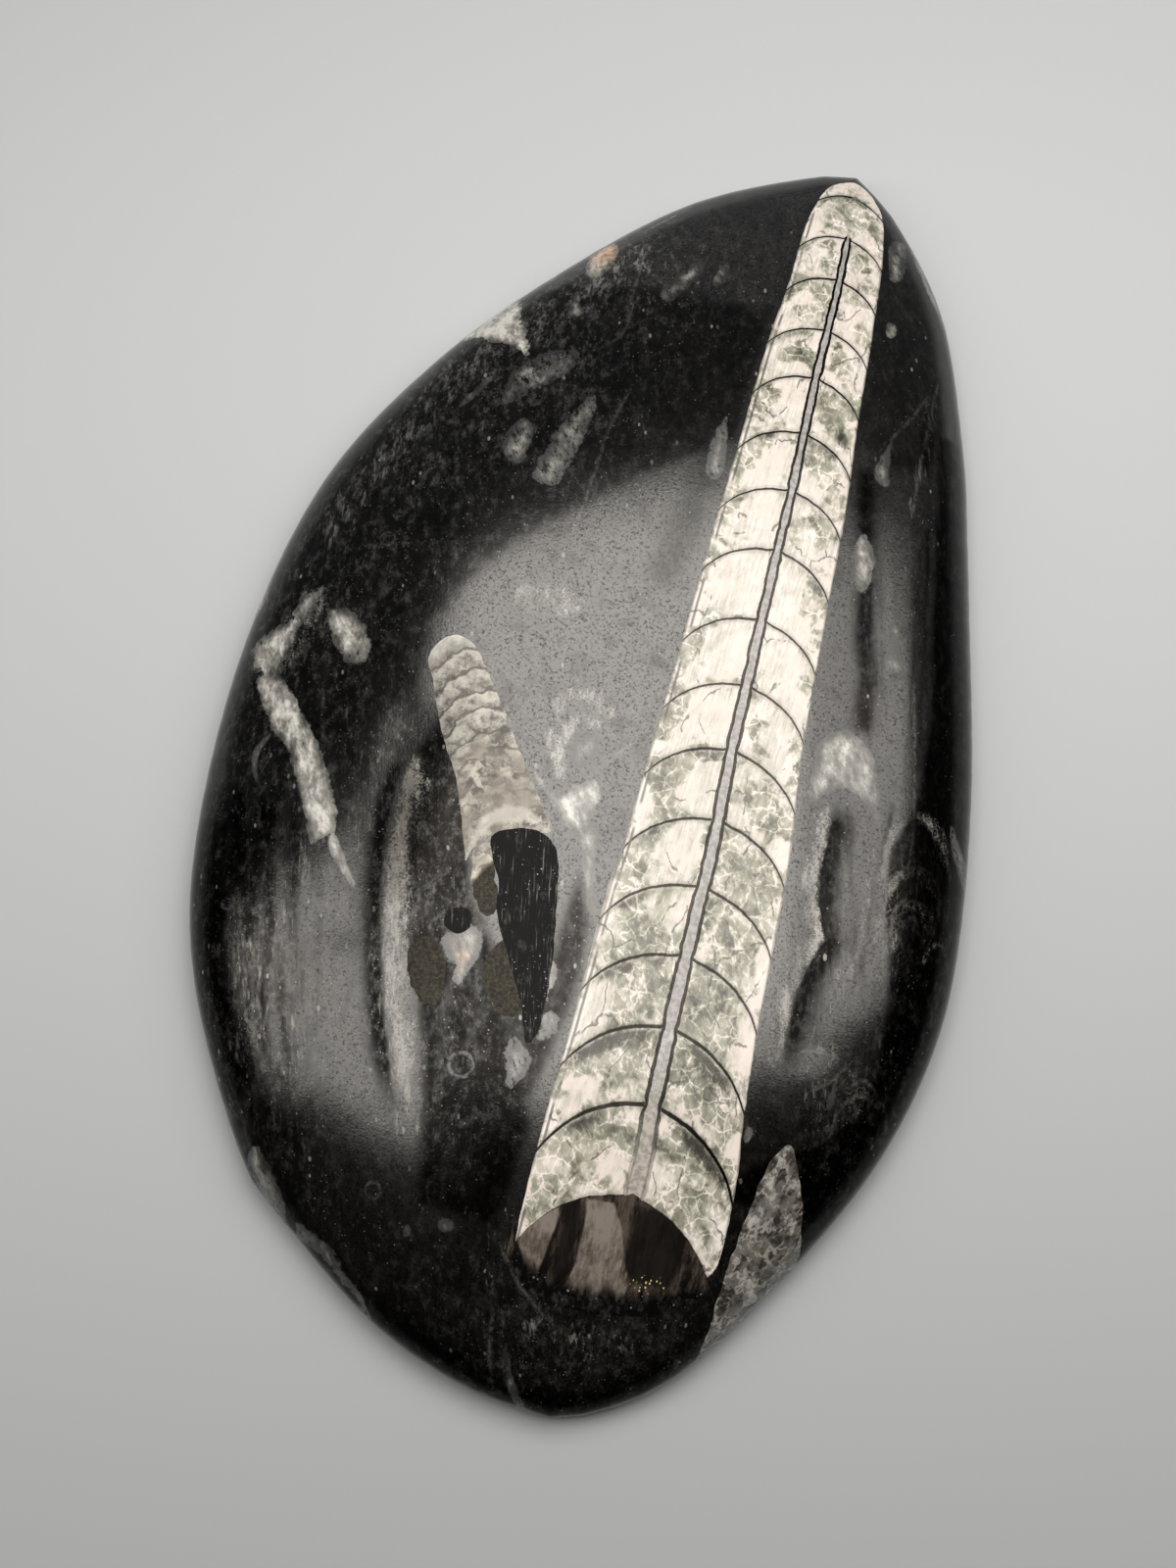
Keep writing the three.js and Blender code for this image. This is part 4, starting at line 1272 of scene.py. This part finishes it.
edge_turns = np.linspace(0, TURN, round(widest_reaches.mean() * TURN / EDGE_GAP), endpoint=False)
edge_out = reach(edge_turns) + OPENING + SIDE_SPAN
sheet_edge = np.stack([np.cos(edge_turns), np.sin(edge_turns)], 1) * edge_out[:, None]
cuts = [on_sheet(outline) for outline, _ in patches]
cut_points = np.vstack([sheet_edge, *cuts])
tree = kdtree.KDTree(len(cut_points))
for i, (px, py) in enumerate(cut_points):
    tree.insert((px, py, 0), i)
tree.balance()
spread = hex_points(sheet_edge.min(0), sheet_edge.max(0), POINT_GAP)
spread_reach = reach(np.arctan2(spread[:, 1], spread[:, 0])) + OPENING + SIDE_SPAN
spread = spread[np.hypot(*spread.T) < spread_reach - SEAM_GAP]
spread = np.array([p for p in spread if tree.find((p[0], p[1], 0))[2] > SEAM_GAP])
sheet_points, sheet_faces, holders, _ = triangles(spread, [sheet_edge, *cuts])
kept_faces = [i for i, holder in enumerate(holders) if 0 in holder]
face_patch = [max(holders[i]) for i in kept_faces]
sheet_faces = sheet_faces[kept_faces]

unit, out, down = off_sheet(sheet_points)
plan = np.array(MIDDLE) + unit * out[:, None]
drawn_in = BACK_BEVEL * down**2
face_height = np.where(down > 0, RIM_HEIGHT * (1 - down), dome_height(*plan.T))
face_points = np.column_stack([plan - unit * drawn_in[:, None], face_height])
reading = plan + unit * (down * SIDE_SPAN)[:, None]

edges = dict.fromkeys(pair for a, b, c in sheet_faces for pair in ((a, b), (b, c), (c, a)))
following = {a: b for a, b in edges if (b, a) not in edges}
loop = [next(iter(following))]
while following[loop[-1]] != loop[0]:
    loop.append(following[loop[-1]])
back_edge = face_points[loop][:, :2]
back_spread = hex_points(back_edge.min(0), back_edge.max(0), BACK_GAP)
back_reach = reach(np.arctan2(*(back_spread - MIDDLE).T[::-1])) - BACK_BEVEL
back_spread = back_spread[np.hypot(*(back_spread - MIDDLE).T) < back_reach - BACK_MARGIN]
back_points, back_faces, back_holders, back_origin = triangles(back_spread, [back_edge])
back_faces = back_faces[[i for i, holder in enumerate(back_holders) if 0 in holder]][:, ::-1]
renumber = np.arange(len(back_points)) + len(face_points)
for i, origin in enumerate(back_origin):
    on_edge = [k for k in origin if k < len(loop)]
    if on_edge:
        renumber[i] = loop[on_edge[0]]
all_points = np.vstack([face_points, np.column_stack([back_points, np.zeros(len(back_points))])])
all_faces = np.vstack([sheet_faces, renumber[back_faces]])
used = np.unique(all_faces)
compact = np.zeros(len(all_points), int)
compact[used] = np.arange(len(used))

skin_mesh = bpy.data.meshes.new("orthoceras_slab_polished")
skin_mesh.from_pydata((all_points[used] * MM).tolist(), [], compact[all_faces].tolist())
skin = put("orthoceras_slab_polished", skin_mesh)

finishes = ["black_limestone", "sawn_back", *sorted({finish for _, finish in patches})]
patch_finish = [0] + [finishes.index(finish) for _, finish in patches]
face_finish = [patch_finish[i] for i in face_patch] + [1] * len(back_faces)
skin_mesh.polygons.foreach_set("material_index", face_finish)
skin_mesh.polygons.foreach_set("use_smooth", [True] * len(all_faces))
pairs = np.zeros(len(skin_mesh.edges) * 2, int)
skin_mesh.edges.foreach_get("vertices", pairs)
sharp = skin_mesh.attributes.new("sharp_edge", "BOOLEAN", "EDGE")
sharp.data.foreach_set("value", np.isin(pairs.reshape(-1, 2), compact[loop]).all(1))

reading = np.vstack([reading, back_points])[used]
values = {name: make(*reading.T) for name, make in fields.items()}
values.update(zip(("shell", "shell_white", "shell_tear"), fragment_fields(*reading.T)))
values.update(zip(("vein", "vein_strength"), vein_fields(*reading.T)))
for name, value in values.items():
    attribute = skin_mesh.attributes.new(name, "FLOAT", "POINT")
    attribute.data.foreach_set("value", np.asarray(value, np.float32))

sheet_size = np.ptp(sheet_edge, axis=0)
face_map = (sheet_points - sheet_edge.min(0)) / sheet_size[1]
back_map = (back_points - back_edge.min(0)) / sheet_size[1] * BACK_MAP_SHARE
back_map[:, 0] += sheet_size[0] / sheet_size[1] + MAP_GAP
corner_map = np.vstack([face_map[sheet_faces].reshape(-1, 2), back_map[back_faces].reshape(-1, 2)])
skin_mesh.uv_layers.new(name="OFBake").data.foreach_set("uv", corner_map.ravel())


# The sawn back.
# The flat face that the slab lies on: grey from the saw, with faint arcs left by a large wheel,
# and never polished.

SAWN_GREY = (0.085, 0.083, 0.080)
SAWN_DARK = (0.040, 0.039, 0.038)
WHEEL = (160, -50, 0)  # centre of the wheel's arcs

sawn_back, n, shader = new_material("sawn_back")
place = n.millimetres()
from_wheel = n.add("VectorMath", {0: place, 1: WHEEL}, operation="DISTANCE").outputs["Value"]
arc_noise = n.maths("MULTIPLY_ADD", n.clouds(place, 6.0, detail=4.0), 2.2, from_wheel)
arcs = n.maths("PINGPONG", n.maths("DIVIDE", arc_noise, 2.4), 0.5)
dull = n.clouds(place, 8.0, detail=6.0, roughness=0.65)
colour = n.mix(n.fade(dull, 0.35, 0.70), SAWN_DARK, SAWN_GREY)
colour = n.mix(n.fade(arcs, 0.0, 0.5, 0.0, 0.25), colour, SAWN_DARK)
back_dust = dusting_of(n, place, 1.1, 0.20)
colour = n.mix(n.product(back_dust, 0.5), colour, SHELL_DULL)
n.join(colour, shader["Base Color"])
n.join(n.maths("MULTIPLY_ADD", dull, 0.25, 0.55), shader["Roughness"])
polish(n, shader, place, pit=0.5, rub=0.1, strength=0.35, depth=0.15, relief=arcs)
shader["IOR"].default_value = 1.55

for finish in finishes:
    skin_mesh.materials.append(bpy.data.materials[finish])
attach(skin, "root")
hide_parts(SLAB)


# The floor.
# A plain pale grey sheet with a very fine tooth, with painted shade that makes it a little darker towards the
# slab's foot and its right side.

FLOOR_PALE = (0.440, 0.459, 0.485)
FLOOR_PAINTED_SHADE = (0.330, 0.345, 0.362)
FLOOR_TOOTH = (0.34, 0.35, 0.365)
FLOOR_HALF = 2.0
FLOOR_DROP = 0.0002  # keeps the floor just clear of the sawn back

floor_mesh = bpy.data.meshes.new("floor")
floor_corners = [(x * FLOOR_HALF, y * FLOOR_HALF, 0) for x, y in ((-1, -1), (1, -1), (1, 1), (-1, 1))]
floor_mesh.from_pydata(floor_corners, [], [(0, 1, 2, 3)])
floor = put("floor", floor_mesh)
floor.location.z = -FLOOR_DROP
floor_paper, n, shader = new_material("floor_paper")
place = n.add("TexCoord", {}).outputs["Object"]
tooth = n.add("TexNoise", {"Vector": place, "Scale": 900.0, "Detail": 3.0}).outputs[0]
# Painted shade: the floor's colour darkens towards the slab's foot and towards the right
along = n.add("VectorMath", {0: place, 1: (-0.22, 1.0, 0.0)}, operation="DOT_PRODUCT").outputs["Value"]
painted_shade_share = n.fade(along, -0.17, 0.10, 1.0, 0.0)
paper = n.mix(painted_shade_share, FLOOR_PALE, FLOOR_PAINTED_SHADE)
n.join(n.mix(n.product(tooth, 0.06), paper, FLOOR_TOOTH), shader["Base Color"])
shader["Roughness"].default_value = 0.85
shader["Specular IOR Level"].default_value = 0.2
floor_mesh.materials.append(floor_paper)


# Light.
# Three soft panels overhead, side by side across the slab's lean and not equally bright, and a
# dim room that is lighter beyond the slab's top.

LAMP_HEIGHT = 0.30
LAMP_WARMTH = (1.0, 0.955, 0.89)
# Each panel: from, to across the slab's lean, from, to along it, and brightness
PANELS = {
    "overhead_panel": (-0.099, 0.155, -0.078, 0.183, 5.4),
    "left_panel": (-0.70, -0.099, -0.12, 0.030, 3.5),
    "right_panel": (0.155, 0.42, -0.09, 0.165, 2.9),
}
ROOM_NEAR = (0.004, 0.004, 0.004)
ROOM_FAR = (0.24, 0.24, 0.245)

lean = Vector((math.cos(math.radians(LAY)), math.sin(math.radians(LAY)), 0))
rise = Vector((-lean.y, lean.x, 0))
for name, (left, right, near, far, glow) in PANELS.items():
    lamp_data = bpy.data.lights.new(name, "AREA")
    lamp_data.shape = "RECTANGLE"
    lamp_data.size = right - left
    lamp_data.size_y = far - near
    lamp_data.energy = glow * math.pi * (right - left) * (far - near)
    lamp_data.color = LAMP_WARMTH
    lamp = put(name, lamp_data)
    lamp.location = lean * (left + right) / 2 + rise * (near + far) / 2 + Vector((0, 0, LAMP_HEIGHT))
    lamp.rotation_euler.z = math.radians(LAY)
room = bpy.data.worlds.new("room")
room.use_nodes = True
n = Recipe(room.node_tree)
way = n.add("TexCoord", {}).outputs["Generated"]
towards = n.add("VectorMath", {0: way, 1: tuple(rise)}, operation="DOT_PRODUCT").outputs["Value"]
room_light = n.mix(n.fade(towards, -0.1, 0.9), ROOM_NEAR, ROOM_FAR)
n.join(room_light, room.node_tree.nodes["Background"].inputs["Color"])
bpy.context.scene.world = room
bpy.context.scene.view_settings.view_transform = "Standard"


# Camera.
# High above the slab's foot and a little to its right, so that the slab leans in the frame.

CAMERA_PLACE = Vector((0.01652, -0.08074, 0.25783))
CAMERA_AIM = Vector((-0.00093, -0.01066, 0.006))
LENS = 45.0

camera_data = bpy.data.cameras.new("camera")
camera_data.lens = LENS
camera_data.sensor_width = 36.0
camera_data.clip_start = 0.01
camera = put("camera", camera_data)
camera.location = CAMERA_PLACE
camera.rotation_mode = "QUATERNION"
camera.rotation_quaternion = (CAMERA_AIM - CAMERA_PLACE).to_track_quat("-Z", "Y")
bpy.context.scene.camera = camera
